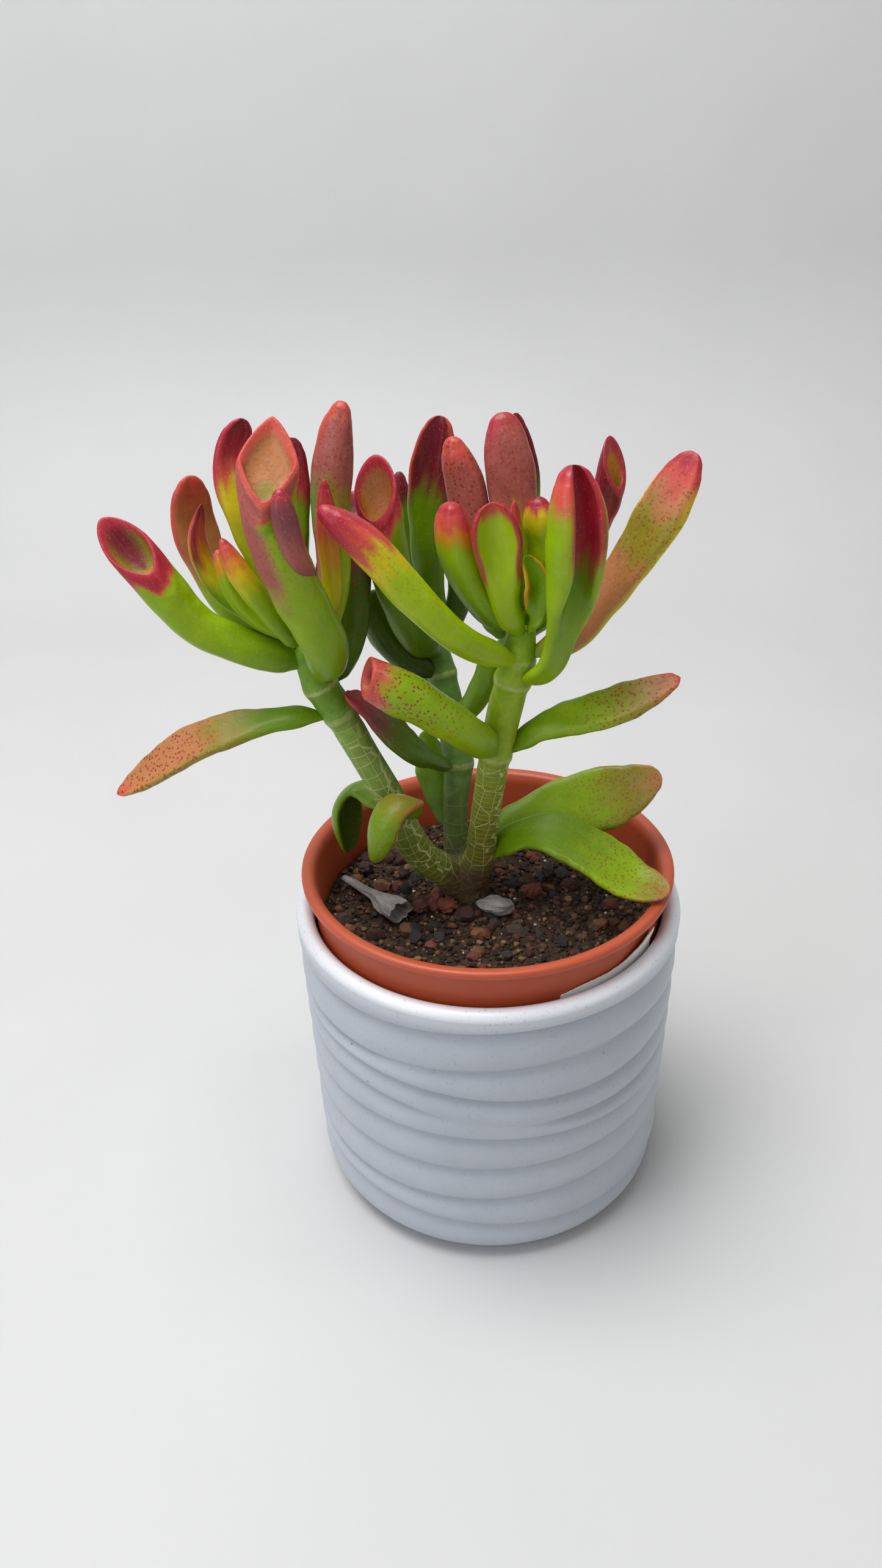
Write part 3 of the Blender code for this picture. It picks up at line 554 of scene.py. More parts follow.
bm = new_lumps()
scatter(bm, 260, (2.0, 6.4), LAVA_COLOURS, 0.26, 2)
print("granule faces:", len(bm.faces))
finish_piece("lava_granules", bm, lava, smooth_angle=35)
crumb_faces = 0
for batch in range(1, 6):
    bm = new_lumps()
    scatter(bm, 850, (0.6, 2.2), CRUMB_COLOURS, 0.15, 1)
    scatter(bm, 18, (0.5, 1.3), [WHITE_GRAIN], 0.0, 1)
    crumb_faces += len(bm.faces)
    finish_piece(f"peat_crumbs_{batch}", bm, lava, smooth_angle=25)
print("crumb faces:", crumb_faces)

# %% Loose stones
Stone = namedtuple("Stone", "x y size colour")
STONES = [Stone(-13, -5, 5.6, "#7a4034"), Stone(-22, -6, 5.0, "#5b3429"), Stone(-42, 17, 5.4, "#4a3a35"),
          Stone(15, 3, 5.8, "#6d3c30"), Stone(21, 15, 5.2, "#3b3432")]
bm = new_lumps()
for stone in STONES:
    add_lump(bm, Vector((stone.x, stone.y, SOIL_TOP + 2.2)), stone.size, stone.colour, 0.75, 3)
stone_nodes = [f"lava_stone_{number}" for number in range(1, len(STONES) + 1)]
finish_piece("loose_lava", bm, lava, stone_nodes, smooth_angle=40)
print("loose stones:", len(STONES))

# %% [markdown]
# ## The stems
# Trunk and stems are one piece of growing wood, so their tubes are joined and remeshed into one skin, which
# rounds the forks as growth does. Old jade bark splits into a net of pale corky lines. The net follows the
# stem, not the room, so each point of the skin keeps a place of its own: round the stem and along it, already
# divided by the size of the net's cells there.

# %% Routes
# each point is x, y, height, radius, with heights counted so that the nursery pot's rim is at 18
STEMS = {
    "stem_left": [(-8, 5, 3, 6.4), (-15, -1, 14, 5.3), (-20, -4, 20, 5.2), (-25, -6, 30, 5.2),
        (-30, -6, 44, 4.8), (-37, -7, 60, 4.6), (-43, -7, 73, 5.0), (-48, -8, 83, 5.2), (-52, -8, 95, 3.4)],
    "stem_right": [(-6, 4, 6, 6.2), (-2, 0, 18, 5.3), (-1, -3, 30, 4.7), (1, -5, 46, 4.7), (3, -7, 60, 5.0),
        (6, -8, 76, 5.2), (9, -9, 89, 5.2), (11, -9, 101, 3.4)],
    "stem_middle": [(-8, 7, 4, 6.0), (-10, 11, 15, 4.4), (-10, 13, 30, 4.2), (-9, 15, 44, 5.0),
        (-11, 19, 58, 4.8), (-14, 24, 73, 4.6), (-16, 26, 84, 3.2)],
}
NODE_HEIGHTS = {"stem_left": [38, 73, 83], "stem_right": [59, 84, 91], "stem_middle": [44, 58, 72]}
DATUM = NURSERY_TOP - 18.0


def lift(points):
    """The drawn points, with heights over the table."""
    return [(x, y, height + DATUM, *rest) for x, y, height, *rest in points]


def smooth_route(points, steps):
    """Points read from one smooth curve through the chosen ones, evenly spaced along it."""
    knots = [Vector(point) for point in points]
    padded = [knots[0] * 2 - knots[1], *knots, knots[-1] * 2 - knots[-2]]
    fine = []
    for a, b, c, d in zip(padded, padded[1:], padded[2:], padded[3:]):
        for tick in range(12):
            t = tick / 12
            fine.append(0.5 * (2 * b + (c - a) * t + (2 * a - 5 * b + 4 * c - d) * t ** 2
                               + (3 * b - a - 3 * c + d) * t ** 3))
    fine.append(knots[-1])
    lengths = [0.0]
    for before, after in zip(fine, fine[1:]):
        lengths.append(lengths[-1] + (after.xyz - before.xyz).length)
    even = []
    index = 0
    for step in range(steps + 1):
        goal = lengths[-1] * step / steps
        while index < len(fine) - 2 and lengths[index + 1] < goal:
            index += 1
        share = (goal - lengths[index]) / (lengths[index + 1] - lengths[index])
        even.append(fine[index].lerp(fine[index + 1], min(1.0, share)))
    return even


def tangents(route):
    pairs = zip([route[0], *route[:-1]], [*route[1:], route[-1]])
    return [(after.xyz - before.xyz).normalized() for before, after in pairs]


STEM_ROUTES = {name: smooth_route(lift(points), 90) for name, points in STEMS.items()}
print("stem lengths:", {name: round(sum((b.xyz - a.xyz).length for a, b in zip(route, route[1:])))
                        for name, route in STEM_ROUTES.items()})

# %% One skin for trunk and stems
def swell(name, height):
    """A stem is a little thicker at a leaf node, and pinched just under it."""
    factor = 1.0
    for node in NODE_HEIGHTS[name]:
        away = height - DATUM - node
        factor += 0.10 * math.exp(-(away / 1.3) ** 2) - 0.05 * math.exp(-((away + 3) / 1.6) ** 2)
    return factor


def stem_rings(name):
    rings = []
    for point, along in zip(STEM_ROUTES[name], tangents(STEM_ROUTES[name])):
        side = along.cross(Vector((0, 1, 0))).normalized()
        front = side.cross(along)
        radius = point.w * swell(name, point.z)
        rings.append([point.xyz + side * (radius * math.cos(angle)) + front * (radius * math.sin(angle))
                      for angle in circle(24)])
    return rings


def trunk_ring(radius, height, angles):
    ring = []
    for angle in angles:
        x, y = math.cos(angle), math.sin(angle)
        reach = radius * (1 + 0.07 * noise.noise(Vector((x, y, height / 6)) * 1.7))
        ring.append((TRUNK_PLACE.x + reach * x, TRUNK_PLACE.y + reach * y, height + DATUM))
    return ring


wood = bmesh.new()
tubes = [stem_rings(name) for name in STEMS]
TRUNK = [(5.6, -14), (7.8, -3), (8.4, 0), (7.9, 3), (7.6, 6), (6.6, 9.5), (5.0, 12)]      # radius, height
tubes.append([trunk_ring(radius, height, circle(24)) for radius, height in TRUNK])
for rings in tubes:
    tube = loft(rings)
    bmesh.ops.recalc_face_normals(tube, faces=tube.faces)
    part = bpy.data.meshes.new("tube")
    tube.to_mesh(part)
    tube.free()
    wood.from_mesh(part)
    bpy.data.meshes.remove(part)
jade_wood = stand_up("jade_wood", wood)
skin = jade_wood.modifiers.new("one skin", "REMESH")
skin.mode = "VOXEL"
skin.voxel_size = 0.65 * MM
relax = jade_wood.modifiers.new("rounded forks", "SMOOTH")
relax.iterations = 7
relax.factor = 0.6
apply_modifiers(jade_wood)
print("wood faces:", len(jade_wood.data.polygons))

# %% A place along the stem and a colour for every point
Bark = namedtuple("Bark", "height round along lines tint")
# cells of the net in mm round and along the stem, how strong its lines are, and the colour under it
BARK = {
    "stem_left": [Bark(0, 2.6, 2.5, 1.0, "#6f7426"), Bark(14, 2.6, 2.4, 1.0, "#75822a"),
        Bark(26, 3.0, 2.8, 1.0, "#768b2c"), Bark(40, 4.2, 4.2, 0.75, "#7d9838"),
        Bark(60, 5.5, 4.4, 0.7, "#86a043"), Bark(70, 6.0, 5.0, 0.35, "#84a53a"),
        Bark(76, 7.0, 7.0, 0.0, "#6f9a22"), Bark(100, 7.0, 7.0, 0.0, "#7ba51e")],
    "stem_right": [Bark(0, 4.0, 2.6, 0.9, "#71702c"), Bark(14, 4.2, 2.2, 0.9, "#7c7f2a"),
        Bark(34, 4.6, 1.9, 1.0, "#848c26"), Bark(50, 5.2, 1.7, 1.0, "#869727"),
        Bark(57, 5.2, 1.7, 0.9, "#8aa42e"), Bark(60, 6, 6, 0.1, "#93b01f"), Bark(64, 7, 7, 0.0, "#9bb41d"),
        Bark(105, 7, 7, 0.0, "#8db31f")],
    "stem_middle": [Bark(0, 4.5, 4.0, 0.5, "#7b7a4a"), Bark(14, 5.5, 5.0, 0.35, "#76874f"),
        Bark(30, 7, 6, 0.2, "#708d50"), Bark(44, 7, 7, 0.0, "#6c8f44"), Bark(90, 7, 7, 0.0, "#5c8429")],
}
TRUNK_TINT = "#65533a"
NET_RADIUS = 6.5                     # the net is laid flat round a stem of this radius, joined at the back
SCAR_TINT = "#bcc47e"                # the pale ring left at a node


def bark_at(name, height):
    """Net and colour at a height, between the rows above."""
    rows = BARK[name]
    for low, high in zip(rows, rows[1:]):
        if height <= high.height:
            share = min(1.0, max(0.0, (height - low.height) / (high.height - low.height)))
            sizes = [blend(low[field], high[field], share) for field in (1, 2, 3)]
            scar = sum(math.exp(-((height - node) / 0.7) ** 2) for node in NODE_HEIGHTS[name])
            tint = blend(linear(low.tint), linear(high.tint), share)
            return (*sizes, blend(tint, linear(SCAR_TINT), 0.7 * min(1.0, scar)))
    return (rows[-1].round, rows[-1].along, rows[-1].lines, linear(rows[-1].tint))


stations = []
for name, route in STEM_ROUTES.items():
    counted = 0.0
    for index, (point, along) in enumerate(zip(route, tangents(route))):
        cell_round, cell_along, lines, tint = bark_at(name, point.z - DATUM)
        if index:
            counted += (point.xyz - route[index - 1].xyz).length / cell_along
        stations.append((point.xyz, along, counted, cell_round, cell_along, lines, tint))
tree_of_points = KDTree(len(stations))
for index, station in enumerate(stations):
    tree_of_points.insert(station[0], index)
tree_of_points.balance()
bm = bmesh.new()
bm.from_mesh(jade_wood.data)
tint_layer = bm.verts.layers.float_color.new("tint")
net_layer = bm.verts.layers.float_vector.new("net")
cork_layer = bm.verts.layers.float.new("cork")
for vert in bm.verts:
    spot = vert.co / MM
    centre, along, counted, cell_round, cell_along, lines, tint = stations[tree_of_points.find(spot)[1]]
    away = spot - centre
    forward_part = away.dot(along)
    side = along.cross(Vector((0, 1, 0))).normalized()
    front = side.cross(along)
    arc = NET_RADIUS * math.atan2(away.dot(side), -away.dot(front))
    vert[net_layer] = (arc / cell_round, counted + forward_part / cell_along, 0)
    near_trunk = 1 - ease(spot.z - DATUM, 11.0, 21.0)
    woody = near_trunk * (1 - ease((spot.xy - TRUNK_PLACE).length, 10.0, 16.0))
    vert[tint_layer] = blend(tint, linear(TRUNK_TINT), woody)
    vert[cork_layer] = lines * (1 - 0.85 * woody)
    scale_noise = noise.noise(spot / 1.6) * 0.35 + noise.noise(spot / 0.8) * 0.15
    vert.co += vert.normal * (scale_noise * woody + 0.05 * noise.noise(spot / 2.5)) * MM
print("wood points placed along", len(stations), "stations")

# %% Corky jade bark
# a young stem is green skin with a waxy sheen; the cork net is dry, pale and stands a hair proud of it
bark, tree, shader = start_material("corky jade bark", Roughness=0.5, IOR=1.42, Subsurface_Weight=0.08,
                                    Subsurface_Scale=0.0015, Subsurface_Radius=(0.5, 1.0, 0.2))
own = add(tree, "Attribute", attribute_name="tint")
net = add(tree, "Attribute", attribute_name="net")
cork = add(tree, "Attribute", attribute_name="cork")
where = add(tree, "TexCoord").outputs["Object"]
wobble = add(tree, "TexNoise", {"Vector": net.outputs["Vector"], "Scale": 2.2, "Detail": 3.0})
bent = add(tree, "Mix", {0: 0.04, 4: net.outputs["Vector"], 5: wobble.outputs["Color"]}, data_type="VECTOR")
across = add(tree, "Mapping", {"Vector": bent, "Scale": (0.22, 1.0, 1.0)})
ring_cells = add(tree, "TexVoronoi", {"Vector": across, "Scale": 1.1, "Randomness": 0.4},
                 feature="DISTANCE_TO_EDGE", voronoi_dimensions="2D")
ring_line = add(tree, "MapRange", {"Value": ring_cells, "From Min": 0.055, "From Max": 0.012},
                interpolation_type="SMOOTHSTEP")
lengthwise = add(tree, "Mapping", {"Vector": bent, "Scale": (1.0, 0.3, 1.0)})
long_cells = add(tree, "TexVoronoi", {"Vector": lengthwise, "Scale": 0.9, "Randomness": 0.5},
                 feature="DISTANCE_TO_EDGE", voronoi_dimensions="2D")
long_line = add(tree, "MapRange", {"Value": long_cells, "From Min": 0.036, "From Max": 0.008},
                interpolation_type="SMOOTHSTEP")
line = add(tree, "Math", {0: ring_line, 1: long_line}, operation="MAXIMUM")
line_here = add(tree, "Math", {0: line, 1: cork.outputs["Fac"]}, operation="MULTIPLY")
stain = add(tree, "TexNoise", {"Vector": where, "Scale": 330.0, "Detail": 5.0, "Roughness": 0.65})
stain_share = add(tree, "MapRange", {"Value": stain, "From Min": 0.35, "From Max": 0.8, "To Max": 0.55})
stained = add(tree, "Mix", {0: stain_share, MIX_A: own, MIX_B: "#8c8a6a"}, data_type="RGBA",
              blend_type="MULTIPLY")
lined = add(tree, "Mix", {0: line_here, MIX_A: stained, MIX_B: "#c6c985"}, data_type="RGBA")
ridge = add(tree, "Bump", {"Height": line_here, "Strength": 0.5, "Distance": 0.0003})
grainy = add(tree, "Bump", {"Height": stain, "Strength": 0.3, "Distance": 0.0004, "Normal": ridge})
plug(shader, {"Base Color": lined, "Normal": grainy})
bpy.data.objects.remove(jade_wood)
finish_piece("jade_wood", bm, bark, ["trunk", *STEMS])
print("bark nodes:", len(tree.nodes))

# %% [markdown]
# ## The leaves
# A finger jade's leaf is a thick blade whose two edges curl towards each other. At the base it is a solid
# finger. Further up it may fold into a channel, or its edges meet and it opens in a slanted trumpet mouth.
# One cross-section covers all of that: a cushion-shaped slice, bent into an arc. The function walks up the
# leaf, and at each step sets the slice's width, thickness and bend. Green fades to yellow, coral and wine
# towards the sun, so each point gets a colour from the leaf's own gradients.

# %% Where each leaf grows
Leaf = namedtuple("Leaf", "name stem kind width thick face route")
LEAVES = [
    # --- the left head
    Leaf("leaf_left_trumpet", "stem_left", "trumpet", 12.0, 9.5, (3, -8, 4),
         [(-50, -8, 89), (-64, -11, 95), (-79, -13, 103), (-88, -14, 115), (-96, -14, 127)]),
    Leaf("leaf_left_front", "stem_left", "trumpet", 14.6, 10.6, (0, -9, 2),
         [(-48, -10, 85), (-44, -17, 98), (-50, -21, 116), (-55, -22, 136), (-54, -20, 153)]),
    Leaf("leaf_left_spoon", "stem_left", "spoon", 12.5, 6.4, (5, -8, 2),
         [(-53, -6, 93), (-66, 0, 97), (-77, 6, 108), (-83, 9, 125), (-82, 8, 140)]),
    Leaf("leaf_left_thin", "stem_left", "finger", 6.6, 5.6, (8, -4, 3),
         [(-54, -7.5, 96), (-66, -5, 103.5), (-75, -4, 112), (-79, -4, 124), (-77, -3, 135)]),
    Leaf("leaf_left_short", "stem_left", "finger", 7.4, 6.0, (5, 2, 5),
         [(-53, -13, 97), (-59, -16, 108), (-66, -16, 120), (-70, -15, 129)]),
    Leaf("leaf_left_fold", "stem_left", "spoon", 11.0, 6.5, (4, -8, 0),
         [(-53, -3, 97), (-60, -2, 113), (-66, -1, 131), (-68, 2, 146), (-64, 3, 156)]),
    Leaf("leaf_left_dark", "stem_left", "spoon", 9.0, 6.0, (0, -9, 0),
         [(-52, 1, 98), (-54, 7, 114), (-54, 11, 132), (-53, 12, 149)]),
    Leaf("leaf_left_tall", "stem_left", "finger", 11.4, 7.4, (-4, -8, 0),
         [(-47, -3, 94), (-43, 2, 112), (-43, 6, 132), (-41, 8, 147), (-38, 9, 159)]),
    Leaf("leaf_left_small", "stem_left", "finger", 6.0, 5.2, (0, 8, 0),
         [(-48, -8, 99), (-43, -5, 108), (-43, -4, 124), (-43, -3, 141)]),
    Leaf("leaf_left_back", "stem_left", "trumpet", 9.0, 7.0, (1, -9, 1),
         [(-45, -4, 82), (-40, 8, 90), (-38, 15, 107), (-39, 22, 126)]),
    Leaf("leaf_left_shade", "stem_left", "finger", 6.6, 5.5, (0, -9, 0),
         [(-48, -3, 86), (-47, 8, 94), (-47, 14, 104), (-48, 18, 114)]),
    Leaf("leaf_left_inner", "stem_left", "finger", 5.0, 4.4, (6, -4, 3),
         [(-54, -10, 98), (-63, -10.5, 103.5), (-69, -10, 111), (-73, -9, 124)]),
    Leaf("leaf_left_droop", "stem_left", "blade", 12.0, 4.6, (0, -5, 8),
         [(-44, -8, 73), (-60, -12, 74), (-84, -14, 68), (-112, -14, 50)]),
    Leaf("leaf_left_low_front", "stem_left", "curl", 11.0, 4.0, (2, 3, -8),
         [(-22, -9, 38), (-25, -16, 48), (-31, -20, 43), (-35, -19, 29)]),
    Leaf("leaf_left_low_back", "stem_left", "curl", 11.0, 4.0, (5, -4, -7),
         [(-34, -3, 38), (-40, 5, 41), (-46, 8, 32), (-46, 7, 15)]),
    # --- the right head
    Leaf("leaf_right_long", "stem_right", "finger", 10.2, 9.2, (2, 2, 8),
         [(9, -12, 91), (-6, -20, 101), (-18, -23, 114), (-30, -24, 129), (-42, -23, 139)]),
    Leaf("leaf_right_taco", "stem_right", "spoon", 12.0, 7.0, (5, -8, 1),
         [(10, -11, 84), (18, -18, 92), (22, -22, 110), (23, -23, 132), (22, -21, 148)]),
    Leaf("leaf_right_trumpet", "stem_right", "trumpet", 10.0, 7.6, (8, -6, 2),
         [(12, -6, 96), (19, -2, 106), (26, -1, 118), (32, 0, 131), (35, 0, 142)]),
    Leaf("leaf_right_channel", "stem_right", "spoon", 13.0, 6.6, (-5, -8, 4),
         [(13, -10, 93), (24, -11, 98), (33, -9, 109), (44, -8, 126), (55, -6, 147)]),
    Leaf("leaf_right_cup", "stem_right", "spoon", 11.0, 6.8, (0, -9, 1),
         [(10, -12, 99), (6, -14, 108), (4, -16, 122), (2, -18, 138)]),
    Leaf("leaf_right_blunt", "stem_right", "finger", 10.4, 8.0, (6, 4, 3),
         [(8, -9, 100), (0, -11, 107), (-7, -12, 121), (-9, -13, 137)]),
    Leaf("leaf_right_sliver", "stem_right", "finger", 4.6, 4.2, (0, 8, 2),
         [(10, -8, 103), (9, -8, 115), (8, -9, 125), (8, -9, 136)]),
    Leaf("leaf_right_slant", "stem_right", "finger", 9.4, 7.0, (5, 5, 3),
         [(12, -8, 100), (16, -7, 108), (16, -6, 120), (14, -5, 136)]),
    Leaf("leaf_right_bud", "stem_right", "curl", 6.4, 3.2, (0, -4, 8),
         [(12, -12, 100), (14, -15, 106), (14, -16, 115), (11, -15, 123)]),
    Leaf("leaf_right_tall", "stem_right", "finger", 13.0, 8.0, (0, 9, 0),
         [(10, -4, 96), (9, 3, 112), (8, 7, 134), (5, 10, 155)]),
    Leaf("leaf_right_dark", "stem_right", "spoon", 9.5, 5.5, (0, -9, 0),
         [(13, -3, 95), (12, 11, 112), (11, 17, 135), (9, 19, 153)]),
    Leaf("leaf_right_streaked", "stem_right", "finger", 11.0, 7.4, (4, 8, 0),
         [(5, -4, 95), (-1, 3, 110), (-4, 8, 130), (-9, 9, 149)]),
    Leaf("leaf_right_low_trumpet", "stem_right", "trumpet", 14.0, 11.0, (-7, -6, 1),
         [(3, -9, 61), (-7, -18, 73), (-18, -22, 83), (-26, -23, 88), (-32, -22, 91)]),
    Leaf("leaf_right_low_wavy", "stem_right", "blade", 11.5, 5.2, (0, -5, 8),
         [(4, -7, 58), (17, -9, 69), (37, -10, 76), (56, -8, 84)]),
    # --- the middle head, behind the other two
    Leaf("leaf_middle_trumpet", "stem_middle", "trumpet", 13.0, 10.0, (-3, -9, 3),
         [(-15, 22, 79), (-22, 17, 90), (-27, 13, 108), (-29, 12, 122), (-31, 13, 134)]),
    Leaf("leaf_middle_tall", "stem_middle", "spoon", 13.0, 7.5, (-3, -9, 0),
         [(-15, 26, 82), (-17, 28, 100), (-17, 28, 122), (-12, 27, 151)]),
    Leaf("leaf_middle_shade", "stem_middle", "finger", 9.0, 6.6, (0, -9, 0),
         [(-14, 28, 80), (-8, 32, 94), (-7, 33, 107), (-9, 32, 119)]),
    Leaf("leaf_middle_far", "stem_middle", "finger", 7.5, 6.0, (0, -9, 0),
         [(-18, 28, 80), (-24, 36, 96), (-26, 40, 114), (-26, 41, 132)]),
    Leaf("leaf_middle_dark", "stem_middle", "finger", 9.0, 6.6, (4, -8, 0),
         [(-14, 22, 72), (-25, 20, 79), (-32, 21, 90), (-34, 22, 101)]),
    Leaf("leaf_middle_grey", "stem_middle", "finger", 6.0, 4.8, (3, -8, 2),
         [(-15, 26, 68), (-26, 30, 73), (-34, 33, 80), (-38, 34, 88)]),
    Leaf("leaf_middle_right", "stem_middle", "finger", 8.4, 6.4, (-4, -6, 4),
         [(-10, 18, 58), (-4, 12, 67), (1, 9, 78), (3, 8, 89)]),
    Leaf("leaf_middle_right_back", "stem_middle", "finger", 6.4, 5.2, (-4, -6, 4),
         [(-10, 21, 57), (-2, 25, 65), (5, 26, 76), (8, 26, 86)]),
    Leaf("leaf_middle_low_purple", "stem_middle", "blade", 10.0, 5.0, (3, -4, 7),
         [(-10, 14, 44), (-16, 4, 51), (-24, -2, 60), (-33, -6, 73), (-40, -15, 83)]),
    Leaf("leaf_middle_low_back", "stem_middle", "blade", 11.0, 4.6, (3, -8, 2),
         [(-11, 13, 17), (-15, 18, 28), (-18, 23, 40), (-20, 27, 50)]),
    # --- the lowest pair on the right
    Leaf("leaf_low_broad", "stem_right", "blade", 19.5, 5.0, (-1, -7, 7),
         [(1, 4, 21), (13, 9, 27), (29, 11, 30), (44, 11, 35), (56, 10, 42)]),
    Leaf("leaf_low_arching", "stem_right", "blade", 16.5, 4.6, (2, -4, 9),
         [(0, -2, 18), (8, -4, 27), (19, -7, 31), (33, -13, 27), (45, -20, 21), (55, -25, 21)]),
]
print("leaves:", len(LEAVES))

# %% Colours of the leaves
# the two darkest greens are painted shade: they go on leaves that sit behind the others or deep inside the
# plant, and on the inner face of the low curled leaf at the back
PALETTE = {
    "night": "#2b4804", "deep": "#4a6a04", "green": "#6c9000", "fresh": "#8cac00", "lime": "#a4be04",
    "yellow": "#cfb90f", "amber": "#cb841c", "coral": "#c94a3f", "red": "#ad2338", "wine": "#741226",
    "tan": "#b9774a", "olive": "#918423", "dusk": "#a95650", "plum": "#7a3f49", "grey": "#67853c",
}
# skin, face (the inner side) and flank run from foot to tip; bend and thin come in from bend_from on
Look = namedtuple("Look", "skin face rim rim_from bend bend_from thin tip dots flank flank_side",
                  defaults=(None, None, 0.0, 0.0, 0.0, 1.0, 1.8, 0.0, None, -1))
LOOKS = {
    "leaf_left_trumpet": Look("0 green .55 fresh .87 fresh .91 coral .95 red 1 red",
        "0 wine .4 olive .8 amber 1 amber", "red"),
    "leaf_left_front": Look("0 green .6 fresh .90 fresh .96 coral 1 dusk", "0 tan .55 tan 1 olive", "coral",
        dots=0.3, flank="0 green .42 fresh .56 dusk .9 dusk 1 dusk"),
    "leaf_left_spoon": Look("0 green .45 fresh .60 tan .74 coral 1 red",
        "0 green .45 fresh .60 tan .76 tan 1 coral", "coral", 0.6, bend=0.35, bend_from=0.3, thin=0.7,
        tip=2.3),
    "leaf_left_thin": Look("0 green .45 fresh .62 yellow .72 amber .84 coral 1 wine", tip=1.3, rim="wine",
        rim_from=0.6, bend=0.8, bend_from=0.3, thin=0.7),
    "leaf_left_short": Look("0 green .5 fresh .68 yellow .78 amber .9 coral 1 red", tip=1.4),
    "leaf_left_fold": Look("0 fresh .35 yellow .58 lime .70 coral .80 red 1 red",
        "0 fresh .40 lime .66 yellow .76 coral .86 red 1 wine", "red", 0.7, bend=1.0, bend_from=0.55,
        thin=0.7, tip=1.7),
    "leaf_left_dark": Look("0 green .6 green .74 red 1 wine", tip=1.7, bend=0.8, bend_from=0.4, thin=0.6),
    "leaf_left_tall": Look("0 yellow .30 lime .52 fresh .62 olive .72 dusk .90 dusk 1 coral", tip=1.6,
        dots=0.6, flank="0 lime .35 dusk .6 grey .78 dusk 1 coral"),
    "leaf_left_small": Look("0 lime .35 yellow .58 amber .7 coral 1 red", tip=1.3),
    "leaf_left_back": Look("0 deep .55 deep .72 plum .9 dusk 1 red", "0 plum 1 plum", "red", dots=0.7),
    "leaf_left_shade": Look("0 deep .35 deep .5 plum 1 plum", dots=0.4),
    "leaf_left_inner": Look("0 fresh .72 fresh .86 amber 1 coral"),
    "leaf_left_droop": Look("0 green .25 green .42 olive .58 tan .9 tan 1 coral", rim="olive", rim_from=0.3,
        dots=1.0, bend=0.6, bend_from=0.1, thin=0.8, tip=1.7),
    "leaf_left_low_front": Look("0 green .35 olive .6 green 1 green", "0 green 1 fresh", "coral", 0.2,
        bend=1.2, bend_from=0.2, thin=0.6, dots=0.4),
    "leaf_left_low_back": Look("0 green 1 green", "0 night 1 deep", bend=1.3, bend_from=0.2, thin=0.7),
    "leaf_right_long": Look("0 lime .25 fresh .6 lime .72 yellow .79 coral .9 red 1 red", tip=1.7, dots=0.25),
    "leaf_right_taco": Look("0 lime .5 fresh .76 fresh .88 coral .95 red 1 wine",
        "0 fresh .55 green .72 red 1 red", "red", 0.60, bend=2.4, bend_from=0.15, thin=0.62, tip=2.0),
    "leaf_right_trumpet": Look("0 green .5 fresh .64 coral .74 red 1 wine", "0 amber 1 olive", "red",
        dots=0.2),
    "leaf_right_channel": Look("0 lime .55 yellow .80 yellow .90 coral 1 red",
        "0 fresh .18 tan .5 tan .60 olive .70 olive .78 tan .88 coral .95 red 1 red", "red", 0.86, bend=0.6,
        bend_from=0.15, thin=0.8, tip=2.0, dots=0.6),
    "leaf_right_cup": Look("0 lime .45 fresh .62 yellow .78 coral 1 red",
        "0 fresh .6 lime .84 lime .94 coral 1 coral", "red", 0.38, bend=1.35, bend_from=0.2, thin=0.45,
        tip=2.4),
    "leaf_right_blunt": Look("0 green .7 fresh .80 amber .87 coral 1 red", tip=2.5),
    "leaf_right_sliver": Look("0 green .75 fresh .86 coral 1 red", tip=1.5),
    "leaf_right_slant": Look("0 green .7 lime .85 yellow .93 red 1 wine", tip=2.6),
    "leaf_right_bud": Look("0 fresh .6 lime 1 lime", "0 green 1 green", "amber", 0.3, bend=1.2, bend_from=0.1,
        thin=0.7),
    "leaf_right_tall": Look("0 green .35 fresh .50 lime .64 dusk .85 dusk 1 red", tip=2.2, dots=0.5,
        flank="0 olive .4 tan .55 dusk .75 dusk 1 red"),
    "leaf_right_dark": Look("0 green .6 green .75 wine 1 wine", tip=1.5, bend=0.9, bend_from=0.4, thin=0.6),
    "leaf_right_streaked": Look("0 green .40 olive .55 dusk .8 dusk 1 coral", tip=1.8, dots=0.9),
    "leaf_right_low_trumpet": Look("0 green .5 fresh .85 fresh .95 coral 1 coral", "0 wine .5 amber 1 amber",
        "coral", dots=0.9),
    "leaf_right_low_wavy": Look("0 green .5 fresh .76 olive .88 tan 1 coral", dots=0.9, bend=0.5,
        bend_from=0.1, thin=0.8, tip=2.0),
    # the middle head stands behind the other two, so its leaves start in the painted-shade greens
    "leaf_middle_trumpet": Look("0 deep .4 green .86 fresh .92 coral .96 red 1 red", "0 tan .5 amber 1 wine",
        "red"),
    "leaf_middle_tall": Look("0 deep .35 green .62 green .72 wine .85 wine 1 red",
        "0 deep .6 green .75 wine 1 wine", "coral", 0.6, bend=0.9, bend_from=0.35, thin=0.6, tip=2.0),
    "leaf_middle_shade": Look("0 night 1 deep"),
    "leaf_middle_far": Look("0 deep .78 green .88 wine 1 wine"),
    "leaf_middle_dark": Look("0 night 1 deep", bend=0.6, bend_from=0.1, thin=0.8),
    "leaf_middle_grey": Look("0 grey 1 grey"),
    "leaf_middle_right": Look("0 green 1 green"),
    "leaf_middle_right_back": Look("0 grey 1 grey"),
    "leaf_middle_low_purple": Look("0 deep .55 deep .72 plum 1 red", tip=1.8, dots=0.9, bend=0.8,
        bend_from=0.1, thin=0.8),
    "leaf_middle_low_back": Look("0 grey 1 green"),
    "leaf_left_lobe": Look("0 green .15 plum .5 dusk .8 plum 1 red", tip=1.8, dots=0.5),
    "leaf_low_broad": Look("0 green .55 fresh .82 olive 1 tan", dots=0.5, tip=1.8, bend=0.35, bend_from=0.1,
        thin=0.9),
    "leaf_low_arching": Look("0 green .45 green .80 fresh .94 olive 1 tan", dots=0.6, tip=2.6, bend=0.6,
        bend_from=0.05, thin=0.85),
}


